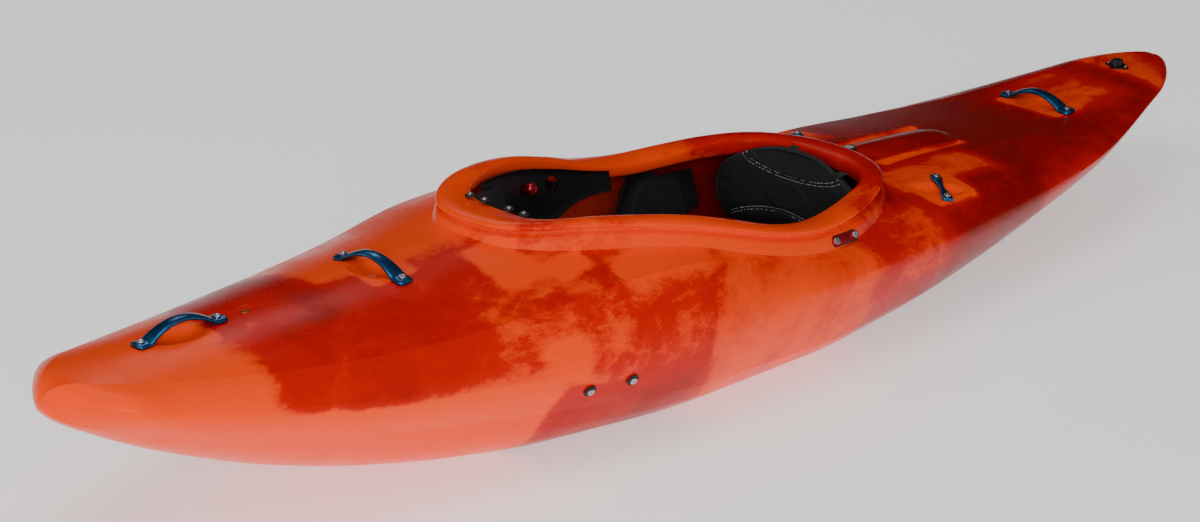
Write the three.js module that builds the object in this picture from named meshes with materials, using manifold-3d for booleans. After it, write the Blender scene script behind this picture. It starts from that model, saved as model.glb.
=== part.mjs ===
import * as THREE from 'three';
import { mergeVertices } from 'three/addons/utils/BufferGeometryUtils.js';
import Module from 'manifold-3d';

// Whitewater kayak in millimetres: +X runs from bow to stern, +Y to starboard, +Z up.
// The keel's lowest stretch lies at Z = 0 and X = 0 is half the length.

const wasm = await Module();
wasm.setup();

// Driving sizes of the boat
const LENGTH = 2750;
const BEAM = 666;
const HEIGHT = 376;
const WALL = 6;
const GAP = 0.3;
const OVERRUN = 5;
const BOW_ROUND = 114;
const STERN_ROUND = 154;
const HALF_BEAM = BEAM / 2;
const HALF_LENGTH = LENGTH / 2;

// Hull lines. Each row is one station: place along the length, then seam half-breadth and
// seam height, shoulder inset and rise, ridge rise, chine inset and drop, keel drop.
// Breadths are shares of half the beam, heights and drops are shares of the height.
const stationShares = [
  [0.000, 0.200, 0.774, 0.130, 0.160, 0.145, 0.054, 0.120, 0.138],
  [0.022, 0.335, 0.769, 0.145, 0.105, 0.115, 0.120, 0.117, 0.168],
  [0.065, 0.462, 0.702, 0.126, 0.122, 0.174, 0.120, 0.130, 0.255],
  [0.145, 0.637, 0.606, 0.105, 0.162, 0.274, 0.123, 0.165, 0.404],
  [0.273, 0.841, 0.516, 0.108, 0.242, 0.383, 0.132, 0.213, 0.495],
  [0.345, 0.943, 0.500, 0.128, 0.298, 0.420, 0.135, 0.255, 0.498],
  [0.415, 1.000, 0.492, 0.159, 0.279, 0.441, 0.138, 0.298, 0.492],
  [0.453, 0.998, 0.489, 0.159, 0.213, 0.439, 0.142, 0.309, 0.489],
  [0.493, 0.994, 0.487, 0.141, 0.146, 0.370, 0.146, 0.322, 0.487],
  [0.531, 0.984, 0.481, 0.135, 0.106, 0.311, 0.150, 0.332, 0.478],
  [0.582, 0.952, 0.471, 0.150, 0.104, 0.266, 0.159, 0.314, 0.455],
  [0.647, 0.904, 0.452, 0.168, 0.128, 0.202, 0.168, 0.285, 0.399],
  [0.691, 0.856, 0.444, 0.156, 0.138, 0.194, 0.174, 0.255, 0.359],
  [0.764, 0.772, 0.457, 0.159, 0.104, 0.144, 0.171, 0.205, 0.293],
  [0.836, 0.664, 0.487, 0.162, 0.069, 0.090, 0.168, 0.160, 0.229],
  [0.945, 0.381, 0.580, 0.126, 0.048, 0.051, 0.159, 0.106, 0.149],
  [1.000, 0.240, 0.633, 0.102, 0.040, 0.035, 0.153, 0.082, 0.117],
];
// How flat the bottom is at places along the length: the power of its cross curve.
const bottomPlaceShares = [0, 0.16, 0.33, 0.8, 1];
const bottomPowers = [2.4, 2.4, 5.3, 5, 3];
// Corners that pull the side and the bilge outwards between shoulder, seam and chine.
const SIDE_BULGE_SHARE = 0.1;
const SIDE_RISE_SHARE = 0.6;
const BILGE_BULGE_SHARE = 0.15;
const BILGE_FALL_SHARE = 0.45;
// Where the points of a cross-section lie on its deck, side, bilge and floor.
const fineShares = {
  deck: [0, 0.25, 0.48, 0.7, 0.88, 1],
  side: [0.33, 0.66, 1],
  bilge: [0.45, 0.8, 1],
  floor: [0.92, 0.8, 0.62, 0.35, 0],
};
const coarseShares = {
  deck: [0, 0.48, 0.88, 1],
  side: [0.6, 1],
  bilge: [0.6, 1],
  floor: [0.87, 0.62, 0],
};
const HULL_STEPS = 34;
const CAVITY_STEPS = 20;
const END_SHARE = 0.0002;
const CAVITY_END_SHARE = 0.012;

// Cockpit rim. What stands in the cockpit has its place as a share of the rim's length.
const RIM_FRONT_SHARE = 0.308364;
const RIM_LENGTH = 937;
const RIM_WIDTH = 543;
const RIM_FRONT_X = RIM_FRONT_SHARE * LENGTH;
const RIM_REAR_X = RIM_FRONT_X + RIM_LENGTH;
const alongRim = (share) => RIM_FRONT_X + share * RIM_LENGTH;
// Half outlines of the rim and its mouth, as shares of its length and half width.
const rimOutlineShares = [
  [0, 0], [0.014, 0.27], [0.055, 0.455], [0.12, 0.61], [0.206, 0.744], [0.308, 0.858],
  [0.42, 0.943], [0.538, 0.995], [0.655, 0.991], [0.76, 0.924], [0.854, 0.8],
  [0.926, 0.626], [0.976, 0.39], [1, 0],
];
const mouthOutlineShares = [
  [0.1, 0], [0.102, 0.2], [0.122, 0.39], [0.2, 0.56], [0.304, 0.7], [0.39, 0.765],
  [0.49, 0.795], [0.6, 0.78], [0.7, 0.74], [0.8, 0.665], [0.87, 0.58], [0.915, 0.42],
  [0.935, 0.22], [0.94, 0],
];
// Height of the rim's crest along its length, as shares of the boat's height.
const crestPlaceShares = [0, 0.12, 0.206, 0.308, 0.42, 0.538, 0.655, 0.76, 0.854, 0.926, 1];
const crestHeightShares = [0.995, 0.998, 0.974, 0.929, 0.854, 0.769, 0.722, 0.722, 0.734, 0.742, 0.74];
const RIM_CREST_WIDTH = 46;
const LIP_THICKNESS = 14;
const LIP_OVERHANG = 17;
const LEDGE_DROP = 10;
const RIM_SKIRT = 34;
const RIM_WALL = 7;
const RIM_BASE_FLARE = 7;
const RIM_GROOVE = 21;
const RIM_SWELL = 31;
const RIM_STEPS = 42;
// Points of the rim's section, out from the mouth or the lip and up from the crest, as
// shares of the lip's thickness.
const mouthEdgeShares = [[0, -0.64], [0.21, -0.29], [0.71, -0.07]];
const lipEdgeShares = [[-2.43, 0], [-1.07, 0], [-0.36, -0.21], [0, -0.57], [-0.14, -1]];

// Carrying handles
const HANDLE_SPACING = 147;
const HANDLE_LENGTH = 172;
const HANDLE_ARCH = 31;
const HANDLE_THICKNESS = 8;
const HANDLE_WAIST = 21;
const HANDLE_PAD_WIDTH = 30;
const FORE_HANDLE_TO_RIM = 194;
const BOW_HANDLE_SHARE = 0.40367;
const STERN_HANDLE_SHARE = 0.862545;
const FORE_HANDLE_X = RIM_FRONT_X - FORE_HANDLE_TO_RIM;
const BOW_HANDLE_X = BOW_HANDLE_SHARE * FORE_HANDLE_X;
const STERN_HANDLE_X = STERN_HANDLE_SHARE * LENGTH;
const REAR_DECK_LENGTH = STERN_HANDLE_X - RIM_REAR_X;
const SCOOP_LENGTH = 112;
const SCOOP_WIDTH = 66;
const SCOOP_DEPTH = 20;

// Security bars behind the cockpit, placed by shares of the deck from the rim to the stern handle
const BAR_PLACE_SHARE = 0.09029;
const BAR_X = RIM_REAR_X + BAR_PLACE_SHARE * REAR_DECK_LENGTH;
const BAR_Y = 204;
const BAR_SPACING = 78;
const BAR_LENGTH = 98;
const BAR_PAD_WIDTH = 21;
const BAR_WAIST = 10;
const BAR_THICKNESS = 7;
const BAR_ANGLE = 55 * Math.PI / 180;
const BAR_SCOOP_LENGTH = 124;
const BAR_SCOOP_WIDTH = 46;
const BAR_SCOOP_DEPTH = 15;

// Rear deck: a raised spine between two grooves, with a cap at its front
const SPINE_FRONT_SHARE = 0.025554;
const SPINE_REAR_SHARE = 0.511073;
const SPINE_FRONT_X = RIM_REAR_X + SPINE_FRONT_SHARE * REAR_DECK_LENGTH;
const SPINE_REAR_X = RIM_REAR_X + SPINE_REAR_SHARE * REAR_DECK_LENGTH;
const SPINE_WIDTH = 104;
const SPINE_RISE = 15;
const GROOVE_RADIUS = 11;
const GROOVE_DEPTH = 6;
const GROOVE_FRONT_SHARE = 0.076661;
const GROOVE_REAR_SHARE = 0.48552;
const GROOVE_FRONT_X = RIM_REAR_X + GROOVE_FRONT_SHARE * REAR_DECK_LENGTH;
const GROOVE_REAR_X = RIM_REAR_X + GROOVE_REAR_SHARE * REAR_DECK_LENGTH;
const GROOVE_FRONT_Y = 66;
const GROOVE_REAR_Y = 54;
const CAP_SETBACK = 12;
const CAP_X = SPINE_FRONT_X + CAP_SETBACK;
const CAP_RADIUS = 14;
const CAP_HEIGHT = 6;

// Drain plug on the stern deck
const DRAIN_SHARE = 0.955273;
const DRAIN_X = DRAIN_SHARE * LENGTH;
const DRAIN_FLANGE_RADIUS = 17;
const DRAIN_FLANGE_THICKNESS = 3;
const DRAIN_EAR_SPACING = 42;
const DRAIN_EAR_RADIUS = 6.5;
const DRAIN_BORE_RADIUS = 9;
const DRAIN_KNOB_RADIUS = 13;
const DRAIN_KNOB_HEIGHT = 13;

// Fasteners
const SCREW_HEAD_RADIUS = 6.5;
const SCREW_HEAD_HEIGHT = 3.2;
const SCREW_SHANK_RADIUS = 3;
const SMALL_HEAD_RADIUS = 3.6;
const SMALL_HEAD_HEIGHT = 1.8;
const SMALL_SHANK_RADIUS = 1.6;
const WASHER_RADIUS = 11;
const WASHER_THICKNESS = 2.5;
const SOCKET_SHARE = 0.4;
const HEAD_RIM_SHARE = 0.45;
const HEAD_TOP_SHARE = 0.72;
const INSERT_SHARE = 0.328205;
const INSERT_X = BOW_HANDLE_X + INSERT_SHARE * (FORE_HANDLE_X - BOW_HANDLE_X);
const INSERT_RADIUS = 7;
const INSERT_DEPTH = 5;

// Thigh braces
const BRACE_FRONT_X = alongRim(0.179296);
const BRACE_REAR_X = alongRim(0.573106);
const BRACE_THICKNESS = 5;
const BRACE_DEPTH = 88;
const BRACE_TOP_DROP = 13;
const BRACE_STAND_OFF = 10;
const BRACE_TRAVEL = 12;
const BRACE_SLOPE = 26;
const BRACE_TONGUE_FRONT_X = alongRim(0.059765);
const BRACE_TONGUE_INNER_Y = 12;
const BRACE_BOLT_X = alongRim(0.084312);
const BRACE_BOLT_Y = [30, 66];
const KNOB_X = alongRim(0.332978);
const KNOB_RADIUS = 12;
const KNOB_HEIGHT = 15;
const KNOB_STEM_RADIUS = 4;
const KNOB_DROP = 48;
const BRACE_HOLE_X = alongRim(0.409819);
const BRACE_HOLE_RADIUS = 13;
const RIM_BOLT_X = alongRim(0.429029);
// Depth of the brace's face at places along it.
const bracePlaceShares = [0, 0.12, 0.3, 0.55, 0.72, 0.88, 1];
const braceDepthShares = [0.3, 0.52, 0.93, 1, 0.7, 0.48, 0.41];

// Seat, hip pads and backrest
const PAN_FRONT_X = alongRim(0.461046);
const SEAT_FRONT_X = alongRim(0.583778);
const SEAT_REAR_X = alongRim(0.813234);
const SEAT_FLOOR = 17;
const SEAT_PLY = 4;
// The pan's wings: places along it, how high they rise there and how far out they reach.
const seatPlaceShares = [0, 0.27, 0.44, 0.59, 0.74, 0.88, 1];
const seatTopShares = [0.06, 0.2, 0.64, 0.97, 0.97, 0.7, 0.4];
const seatReachShares = [0.48, 0.6, 0.92, 1, 1, 1, 1];
// The pan's cross curve from its middle to the wing's edge: girth, then out and up.
const seatGirthShares = [0, 0.35, 0.52, 0.68, 0.86, 1];
const seatOutShares = [0, 0.5, 0.72, 0.84, 0.95, 1];
const seatUpShares = [0, 0, 0.09, 0.42, 0.8, 1];
const SEAT_PAD_THICKNESS = 26;
const HIP_PAD_THICKNESS = 34;
const HIP_PLATE_X = alongRim(0.695838);
const HIP_PLATE_LENGTH = 66;
const HIP_PLATE_HEIGHT = 15;
const HIP_PLATE_THICKNESS = 3;
const HIP_GASKET_THICKNESS = 2;
const HIP_GASKET_MARGIN = 2.5;
const HIP_BOLT_SPACING = 48;
const BACK_TOP_X = alongRim(0.889007);
const BACK_TOP_Z = 286;
const BACK_HEIGHT = 172;
const BACK_WIDTH = 366;
const BACK_RAKE = 8 * Math.PI / 180;
const BACK_PAD_THICKNESS = 24;
const BACK_PAD_GAP = 1.5;
const BACK_SHELL_THICKNESS = 4;
const BACK_WRAP = 12;
const BACK_TOP_TAPER_SHARE = 0.42;
const BACK_FOOT_TAPER_SHARE = 0.2;
const HINGE_BAR_RADIUS = 5;
const EAR_Y = 95;

// Footrest
const FOOT_TO_RIM = 288;
const FOOT_X = RIM_FRONT_X - FOOT_TO_RIM;
const FOOT_TRAVEL = 90;
const FOOT_RAIL_SHARE = 0.504505;
const FOOT_RAIL_Y = FOOT_RAIL_SHARE * HALF_BEAM;
const FOOT_RAIL_Z = 208;
const FOOT_RAIL_WIDTH = 18;
const FOOT_RAIL_THICKNESS = 4;
const FOOT_BEND_TO_RIM = 148;
const FOOT_BEND_X = RIM_FRONT_X - FOOT_BEND_TO_RIM;
const FOOT_BEND_LENGTH = 140;
const FOOT_BOLT_FROM_RIM = [20, 102];
const FOOT_BOLT_X = FOOT_BOLT_FROM_RIM.map((distance) => RIM_FRONT_X + distance);
const FOOT_BOLT_Z = 140;
const FOOT_PLATE_THICKNESS = 10;
const FOOT_PAD_THICKNESS = 14;

// Foam pillars
const PILLAR_THICKNESS = 62;
const FORE_PILLAR_TO_FOOTREST = [208, 135];
const AFT_PILLAR_FROM_RIM = 75;
const AFT_PILLAR_PAST_HANDLE = 88;
const FORE_PILLAR_X = FORE_PILLAR_TO_FOOTREST.map((distance) => FOOT_X - distance);
const AFT_PILLAR_X = [RIM_REAR_X + AFT_PILLAR_FROM_RIM, STERN_HANDLE_X + AFT_PILLAR_PAST_HANDLE];

// Colours and finishes
const finishes = {
  hull: [0xc8431f, 0.38, 0],
  blue: [0x14548a, 0.32, 0.6],
  steel: [0xb9bcc0, 0.28, 1],
  rubber: [0x17181a, 0.8, 0],
  black: [0x1c1d20, 0.5, 0],
  red: [0xb8222a, 0.35, 0.3],
  brass: [0xb08d3e, 0.35, 1],
  foam: [0x26272b, 0.9, 0],
  cloth: [0x1d1e22, 0.95, 0],
  aluminium: [0xa9adb2, 0.4, 1],
};

const group = new THREE.Group();

// Small tools

// A smooth curve through values at places.
function curveThrough(places, values) {
  const spans = places.slice(1).map((place, i) => place - places[i]);
  const steps = spans.map((span, i) => (values[i + 1] - values[i]) / span);
  const slopes = places.map((_, i) => {
    const a = Math.max(i - 1, 0);
    const b = Math.min(i, steps.length - 1);
    return (steps[a] * spans[b] + steps[b] * spans[a]) / (spans[a] + spans[b]);
  });
  return (place) => {
    const last = places.length - 2;
    let i = 0;
    while (i < last && place > places[i + 1]) i += 1;
    const width = places[i + 1] - places[i];
    const t = Math.min(Math.max((place - places[i]) / width, 0), 1);
    const a = values[i] * (1 + 2 * t) * (1 - t) ** 2 + values[i + 1] * t * t * (3 - 2 * t);
    return a + width * (slopes[i] * t * (1 - t) ** 2 - slopes[i + 1] * t * t * (1 - t));
  };
}

function toManifold(geometry) {
  const bare = geometry.clone();
  bare.deleteAttribute('normal');
  bare.deleteAttribute('uv');
  const merged = mergeVertices(bare, 1e-4);
  const vertProperties = new Float32Array(merged.attributes.position.array);
  const triVerts = new Uint32Array(merged.index.array);
  return new wasm.Manifold(new wasm.Mesh({ numProp: 3, vertProperties, triVerts }));
}

// A closed solid from points and triangles, turned so that it faces out.
function solidFrom(points, triangles) {
  const positions = new Float32Array(points.flatMap((point) => point.toArray()));
  let volume = 0;
  for (const [a, b, c] of triangles) {
    volume += points[a].dot(new THREE.Vector3().crossVectors(points[b], points[c]));
  }
  const facing = volume > 0 ? triangles : triangles.map(([a, b, c]) => [a, c, b]);
  const mesh = new wasm.Mesh({
    numProp: 3,
    vertProperties: positions,
    triVerts: new Uint32Array(facing.flat()),
  });
  return new wasm.Manifold(mesh);
}

// Skins a row of like rings; the ends are closed, or joined to each other in a loop.
function skinRings(rings, looped = false) {
  const count = rings[0].length;
  const points = rings.flat();
  const triangles = [];
  const spans = looped ? rings.length : rings.length - 1;
  for (let i = 0; i < spans; i += 1) {
    const next = (i + 1) % rings.length;
    for (let j = 0; j < count; j += 1) {
      const k = (j + 1) % count;
      triangles.push([i * count + j, next * count + j, next * count + k]);
      triangles.push([i * count + j, next * count + k, i * count + k]);
    }
  }
  if (!looped) {
    for (const [ring, flip] of [[0, false], [rings.length - 1, true]]) {
      const centre = new THREE.Vector3();
      rings[ring].forEach((point) => centre.addScaledVector(point, 1 / count));
      points.push(centre);
      for (let j = 0; j < count; j += 1) {
        const a = ring * count + j;
        const b = ring * count + ((j + 1) % count);
        triangles.push(flip ? [points.length - 1, b, a] : [points.length - 1, a, b]);
      }
    }
  }
  return solidFrom(points, triangles);
}

// A solid between two like grids of points, both given at shares from -1 to 1.
function gridSolid(stepsA, stepsB, face, back) {
  const rows = stepsA + 1;
  const columns = stepsB + 1;
  const points = [];
  for (const surface of [face, back]) {
    for (let i = 0; i < rows; i += 1) {
      for (let j = 0; j < columns; j += 1) {
        points.push(surface((2 * i) / stepsA - 1, (2 * j) / stepsB - 1));
      }
    }
  }
  const total = rows * columns;
  const triangles = [];
  const quad = (a, b, c, d) => triangles.push([a, b, c], [a, c, d]);
  for (let i = 0; i < stepsA; i += 1) {
    for (let j = 0; j < stepsB; j += 1) {
      const a = i * columns + j;
      quad(a, a + columns, a + columns + 1, a + 1);
      quad(total + a, total + a + 1, total + a + columns + 1, total + a + columns);
    }
  }
  const edge = [];
  for (let i = 0; i < stepsA; i += 1) edge.push(i * columns);
  for (let j = 0; j < stepsB; j += 1) edge.push(stepsA * columns + j);
  for (let i = stepsA; i > 0; i -= 1) edge.push(i * columns + stepsB);
  for (let j = stepsB; j > 0; j -= 1) edge.push(j);
  edge.forEach((a, i) => {
    const b = edge[(i + 1) % edge.length];
    quad(a, total + a, total + b, b);
  });
  return solidFrom(points, triangles);
}

// Moves a geometry so that its own Z follows one direction and its X lies along another.
function placed(geometry, origin, zDirection, xDirection) {
  const z = zDirection.clone().normalize();
  const x = xDirection.clone().addScaledVector(z, -xDirection.dot(z)).normalize();
  const y = new THREE.Vector3().crossVectors(z, x);
  const basis = new THREE.Matrix4().makeBasis(x, y, z).setPosition(origin);
  return toManifold(geometry.applyMatrix4(basis));
}

function stadium(halfLength, radius) {
  const shape = new THREE.Shape();
  shape.absarc(halfLength, 0, radius, -Math.PI / 2, Math.PI / 2, false);
  shape.absarc(-halfLength, 0, radius, Math.PI / 2, (3 * Math.PI) / 2, false);
  return shape;
}

function prism(shape, depth, segments = 6) {
  return new THREE.ExtrudeGeometry(shape, { depth, bevelEnabled: false, curveSegments: segments });
}

function turned(profile, segments) {
  const geometry = new THREE.LatheGeometry(profile.map(([r, z]) => new THREE.Vector2(r, z)), segments);
  return geometry.rotateX(Math.PI / 2);
}

function add(name, solid, finish) {
  const data = solid.getMesh();
  const geometry = new THREE.BufferGeometry();
  geometry.setAttribute('position', new THREE.BufferAttribute(data.vertProperties, data.numProp));
  geometry.setIndex(new THREE.BufferAttribute(data.triVerts, 1));
  geometry.computeVertexNormals();
  const [color, roughness, metalness] = finishes[finish];
  const mesh = new THREE.Mesh(geometry, new THREE.MeshStandardMaterial({ color, roughness, metalness }));
  mesh.name = name;
  group.add(mesh);
}

const sides = [['port', -1], ['starboard', 1]];
const UP = new THREE.Vector3(0, 0, 1);
const AFT = new THREE.Vector3(1, 0, 0);
const at = (fromBow, y, z) => new THREE.Vector3(fromBow - HALF_LENGTH, y, z);

// Hull surface

const stationColumn = (column, size) => curveThrough(
  stationShares.map((row) => row[0] * LENGTH),
  stationShares.map((row) => row[column] * size),
);
const seamBreadth = stationColumn(1, HALF_BEAM);
const seamHeight = stationColumn(2, HEIGHT);
const shoulderInset = stationColumn(3, HALF_BEAM);
const shoulderRise = stationColumn(4, HEIGHT);
const ridgeRise = stationColumn(5, HEIGHT);
const chineInset = stationColumn(6, HALF_BEAM);
const chineDrop = stationColumn(7, HEIGHT);
const keelDrop = stationColumn(8, HEIGHT);
const bottomPower = curveThrough(bottomPlaceShares.map((share) => share * LENGTH), bottomPowers);

function hullLines(x) {
  const bow = Math.min(x / BOW_ROUND, 1);
  const stern = Math.min((LENGTH - x) / STERN_ROUND, 1);
  const end = Math.sqrt(Math.max(1 - (1 - bow) ** 2, 0) * Math.max(1 - (1 - stern) ** 2, 0));
  const seamY = seamBreadth(x) * end;
  const seamZ = seamHeight(x);
  return {
    seamY,
    seamZ,
    shoulderY: Math.max(seamY - shoulderInset(x) * end, seamY / 4),
    shoulderZ: seamZ + shoulderRise(x) * end,
    ridgeZ: seamZ + ridgeRise(x) * end,
    chineY: Math.max(seamY - chineInset(x) * end, seamY / 4),
    chineZ: seamZ - chineDrop(x) * end,
    keelZ: seamZ - keelDrop(x) * end,
    power: bottomPower(x),
  };
}

function deckHeight(x, y) {
  const { ridgeZ, shoulderY, shoulderZ } = hullLines(x);
  return ridgeZ + (shoulderZ - ridgeZ) * (y / shoulderY) ** 2;
}

function deckNormal(x, y) {
  const step = WALL;
  const slopeX = (deckHeight(x + step, y) - deckHeight(x - step, y)) / (2 * step);
  const slopeY = (deckHeight(x, y + step) - deckHeight(x, y - step)) / (2 * step);
  return new THREE.Vector3(-slopeX, -slopeY, 1).normalize();
}

// Point on a bulging line between two corners of a section.
function bulge(from, corner, to, t) {
  const mix = (a, b, c) => a * (1 - t) ** 2 + 2 * b * t * (1 - t) + c * t * t;
  return [mix(from[0], corner[0], to[0]), mix(from[1], corner[1], to[1])];
}

// Half of a cross-section, from the deck ridge round the starboard side to the keel.
function halfSection(x, steps = fineShares) {
  const l = hullLines(x);
  const shoulder = [l.shoulderY, l.shoulderZ];
  const seam = [l.seamY, l.seamZ];
  const chine = [l.chineY, l.chineZ];
  const upper = [
    l.seamY - SIDE_BULGE_SHARE * (l.seamY - l.shoulderY),
    l.seamZ + SIDE_RISE_SHARE * (l.shoulderZ - l.seamZ),
  ];
  const lower = [
    l.seamY - BILGE_BULGE_SHARE * (l.seamY - l.chineY),
    l.seamZ - BILGE_FALL_SHARE * (l.seamZ - l.chineZ),
  ];
  return [
    ...steps.deck.map((k) => [l.shoulderY * k, l.ridgeZ + (l.shoulderZ - l.ridgeZ) * k * k]),
    ...steps.side.map((t) => bulge(shoulder, upper, seam, t)),
    ...steps.bilge.map((t) => bulge(seam, lower, chine, t)),
    ...steps.floor.map((k) => [l.chineY * k, l.keelZ + (l.chineZ - l.keelZ) * k ** l.power]),
  ];
}

// Whole cross-section at a place, set in by a depth and shown at another place.
function sectionRing(x, depth, shownX, steps = fineShares) {
  const half = halfSection(x, steps);
  const other = half.slice(1, -1).reverse().map(([y, z]) => [-y, z]);
  const loop = [...half, ...other];
  return loop.map(([y, z], i) => {
    const [y0, z0] = loop[(i + loop.length - 1) % loop.length];
    const [y1, z1] = loop[(i + 1) % loop.length];
    const run = Math.hypot(y1 - y0, z1 - z0) || 1;
    return at(shownX, y + ((z1 - z0) / run) * depth, z - ((y1 - y0) / run) * depth);
  });
}

// Shares along the length, closer together at the ends.
function lengthShares(count, start) {
  const bendShare = 0.125;
  return Array.from({ length: count + 1 }, (_, i) => {
    const t = i / count;
    return start + (1 - 2 * start) * (t - bendShare * Math.sin(2 * Math.PI * t));
  });
}

function hullBody(depth, count, start, steps) {
  const inset = Math.max(depth, 0);
  return skinRings(lengthShares(count, start).map((share) => {
    const shown = inset + (LENGTH - 2 * inset) * share;
    return sectionRing(share * LENGTH, depth, shown, steps);
  }));
}

function sideBreadth(x, height) {
  const half = halfSection(x).slice(fineShares.deck.length - 1, -fineShares.floor.length);
  for (let i = 1; i < half.length; i += 1) {
    const [y0, z0] = half[i - 1];
    const [y1, z1] = half[i];
    if (height <= z0 && height >= z1) return y0 + ((y1 - y0) * (height - z0)) / (z1 - z0);
  }
  return half[half.length - 1][0];
}

// Cockpit outlines

function outlineCurve(shares) {
  const half = shares.map(([along, out]) => [RIM_FRONT_X + along * RIM_LENGTH, (out * RIM_WIDTH) / 2]);
  const other = half.slice(1, -1).reverse().map(([x, y]) => [x, -y]);
  const points = [...half, ...other].map(([x, y]) => at(x, y, 0));
  return new THREE.CatmullRomCurve3(points, true, 'centripetal');
}

const rimCurve = outlineCurve(rimOutlineShares);
const mouthCurve = outlineCurve(mouthOutlineShares);
const rimPoints = rimCurve.getSpacedPoints(RIM_STEPS).slice(0, RIM_STEPS);
const mouthPoints = mouthCurve.getSpacedPoints(RIM_STEPS).slice(0, RIM_STEPS);
const crestHeight = curveThrough(
  crestPlaceShares.map((share) => RIM_FRONT_X + share * RIM_LENGTH),
  crestHeightShares.map((share) => share * HEIGHT),
);
const mouthHalf = mouthOutlineShares.map(([along, out]) => [
  RIM_FRONT_X + along * RIM_LENGTH,
  (out * RIM_WIDTH) / 2,
]);
const mouthBreadth = curveThrough(mouthHalf.map((row) => row[0]), mouthHalf.map((row) => row[1]));
const rimHalf = rimOutlineShares.map(([along, out]) => [
  RIM_FRONT_X + along * RIM_LENGTH,
  (out * RIM_WIDTH) / 2,
]);
const rimBreadth = curveThrough(rimHalf.map((row) => row[0]), rimHalf.map((row) => row[1]));

// Hull shell with its moulded cockpit rim

// One section of the rim: inner skirt, crest, lip, groove under it, swelling and foot.
function rimSection(index) {
  const outer = rimPoints[index];
  const inner = mouthPoints[index];
  const outward = new THREE.Vector3().subVectors(outer, inner);
  const width = outward.length();
  outward.normalize();
  const crest = crestHeight(outer.x + HALF_LENGTH);
  const drop = Math.min(LEDGE_DROP, (width - RIM_CREST_WIDTH) / 4);
  const skirt = RIM_SKIRT - 1.4 * drop;
  const base = outer.clone().addScaledVector(outward, RIM_BASE_FLARE);
  const deck = Math.min(deckHeight(base.x + HALF_LENGTH, base.y) - crest, -RIM_SWELL - WALL);
  const foot = deck - WALL / 2;
  const fromMouth = (out, up) => inner.clone().addScaledVector(outward, out).setZ(crest + up);
  const fromLip = (out, up) => outer.clone().addScaledVector(outward, out).setZ(crest + up);
  const bend = LIP_THICKNESS / 5;
  const throat = -LIP_OVERHANG - WALL;
  return [
    fromMouth(0, -skirt),
    ...mouthEdgeShares.map(([out, up]) => fromMouth(out * LIP_THICKNESS, up * LIP_THICKNESS - drop)),
    ...lipEdgeShares.map(([out, up]) => fromLip(out * LIP_THICKNESS, up * LIP_THICKNESS)),
    fromLip(-LIP_OVERHANG + bend, -LIP_THICKNESS - bend / 2),
    fromLip(-LIP_OVERHANG, -RIM_GROOVE),
    fromLip(-LIP_OVERHANG + 2 * bend, -RIM_GROOVE - bend),
    fromLip(-bend / 2, -RIM_SWELL),
    fromLip(RIM_BASE_FLARE, deck),
    fromLip(RIM_BASE_FLARE, foot),
    fromLip(-RIM_WALL, foot),
    fromLip(-RIM_WALL - bend, -RIM_SWELL - bend),
    fromLip(throat, -RIM_GROOVE - bend),
    fromLip(throat, -LIP_THICKNESS - bend),
    fromMouth(RIM_WALL, -LIP_THICKNESS - drop),
    fromMouth(RIM_WALL, -skirt),
  ];
}

const rimBody = skinRings(rimPoints.map((_, index) => rimSection(index)), true);

// Removes the deck inside the rim's foot.
function deckCutout() {
  const low = HEIGHT / 2;
  const ring = (height) => rimPoints.map((outer, index) => {
    const outward = new THREE.Vector3().subVectors(outer, mouthPoints[index]).normalize();
    return outer.clone().addScaledVector(outward, -WALL).setZ(height);
  });
  return skinRings([ring(low), ring(HEIGHT + OVERRUN)]);
}

function ellipsoid(centre, halfX, halfY, halfZ, angle = 0, segments = 12) {
  const ball = new THREE.SphereGeometry(1, segments, segments / 2);
  ball.rotateX(Math.PI / 2);
  ball.scale(halfX, halfY, halfZ);
  ball.rotateZ(angle);
  ball.translate(centre.x, centre.y, centre.z);
  return toManifold(ball);
}

// Each dish is a hollow pressed into the deck: place, half sizes and depth.
const dishes = [
  [BOW_HANDLE_X, 0, SCOOP_LENGTH / 2, SCOOP_WIDTH / 2, SCOOP_DEPTH, 0],
  [FORE_HANDLE_X, 0, SCOOP_WIDTH / 2 + WALL, SCOOP_LENGTH / 2, SCOOP_DEPTH, 0],
  [STERN_HANDLE_X, 0, SCOOP_WIDTH / 2, SCOOP_LENGTH / 2, SCOOP_DEPTH, 0],
  ...sides.map(([, side]) => [
    BAR_X, side * BAR_Y, BAR_SCOOP_LENGTH / 2, BAR_SCOOP_WIDTH / 2, BAR_SCOOP_DEPTH,
    side * (Math.PI / 2 - BAR_ANGLE),
  ]),
];

function dishBody([x, y, halfX, halfY, depth, angle], thickness) {
  const lift = depth / 2;
  const centre = at(x, y, deckHeight(x, y) + lift);
  return ellipsoid(centre, halfX + thickness, halfY + thickness, depth + lift + thickness, angle);
}

function grooveBody(side, thickness) {
  const front = at(GROOVE_FRONT_X, side * GROOVE_FRONT_Y, deckHeight(GROOVE_FRONT_X, GROOVE_FRONT_Y));
  const rear = at(GROOVE_REAR_X, side * GROOVE_REAR_Y, deckHeight(GROOVE_REAR_X, GROOVE_REAR_Y));
  const along = new THREE.Vector3().subVectors(rear, front);
  const middle = front.clone().addScaledVector(along, 0.5);
  middle.z += GROOVE_RADIUS - GROOVE_DEPTH;
  const radius = GROOVE_RADIUS + thickness;
  const geometry = new THREE.CapsuleGeometry(radius, along.length() - 2 * GROOVE_RADIUS, 3, 10);
  geometry.rotateX(Math.PI / 2);
  return placed(geometry, middle, along, UP);
}

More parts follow.
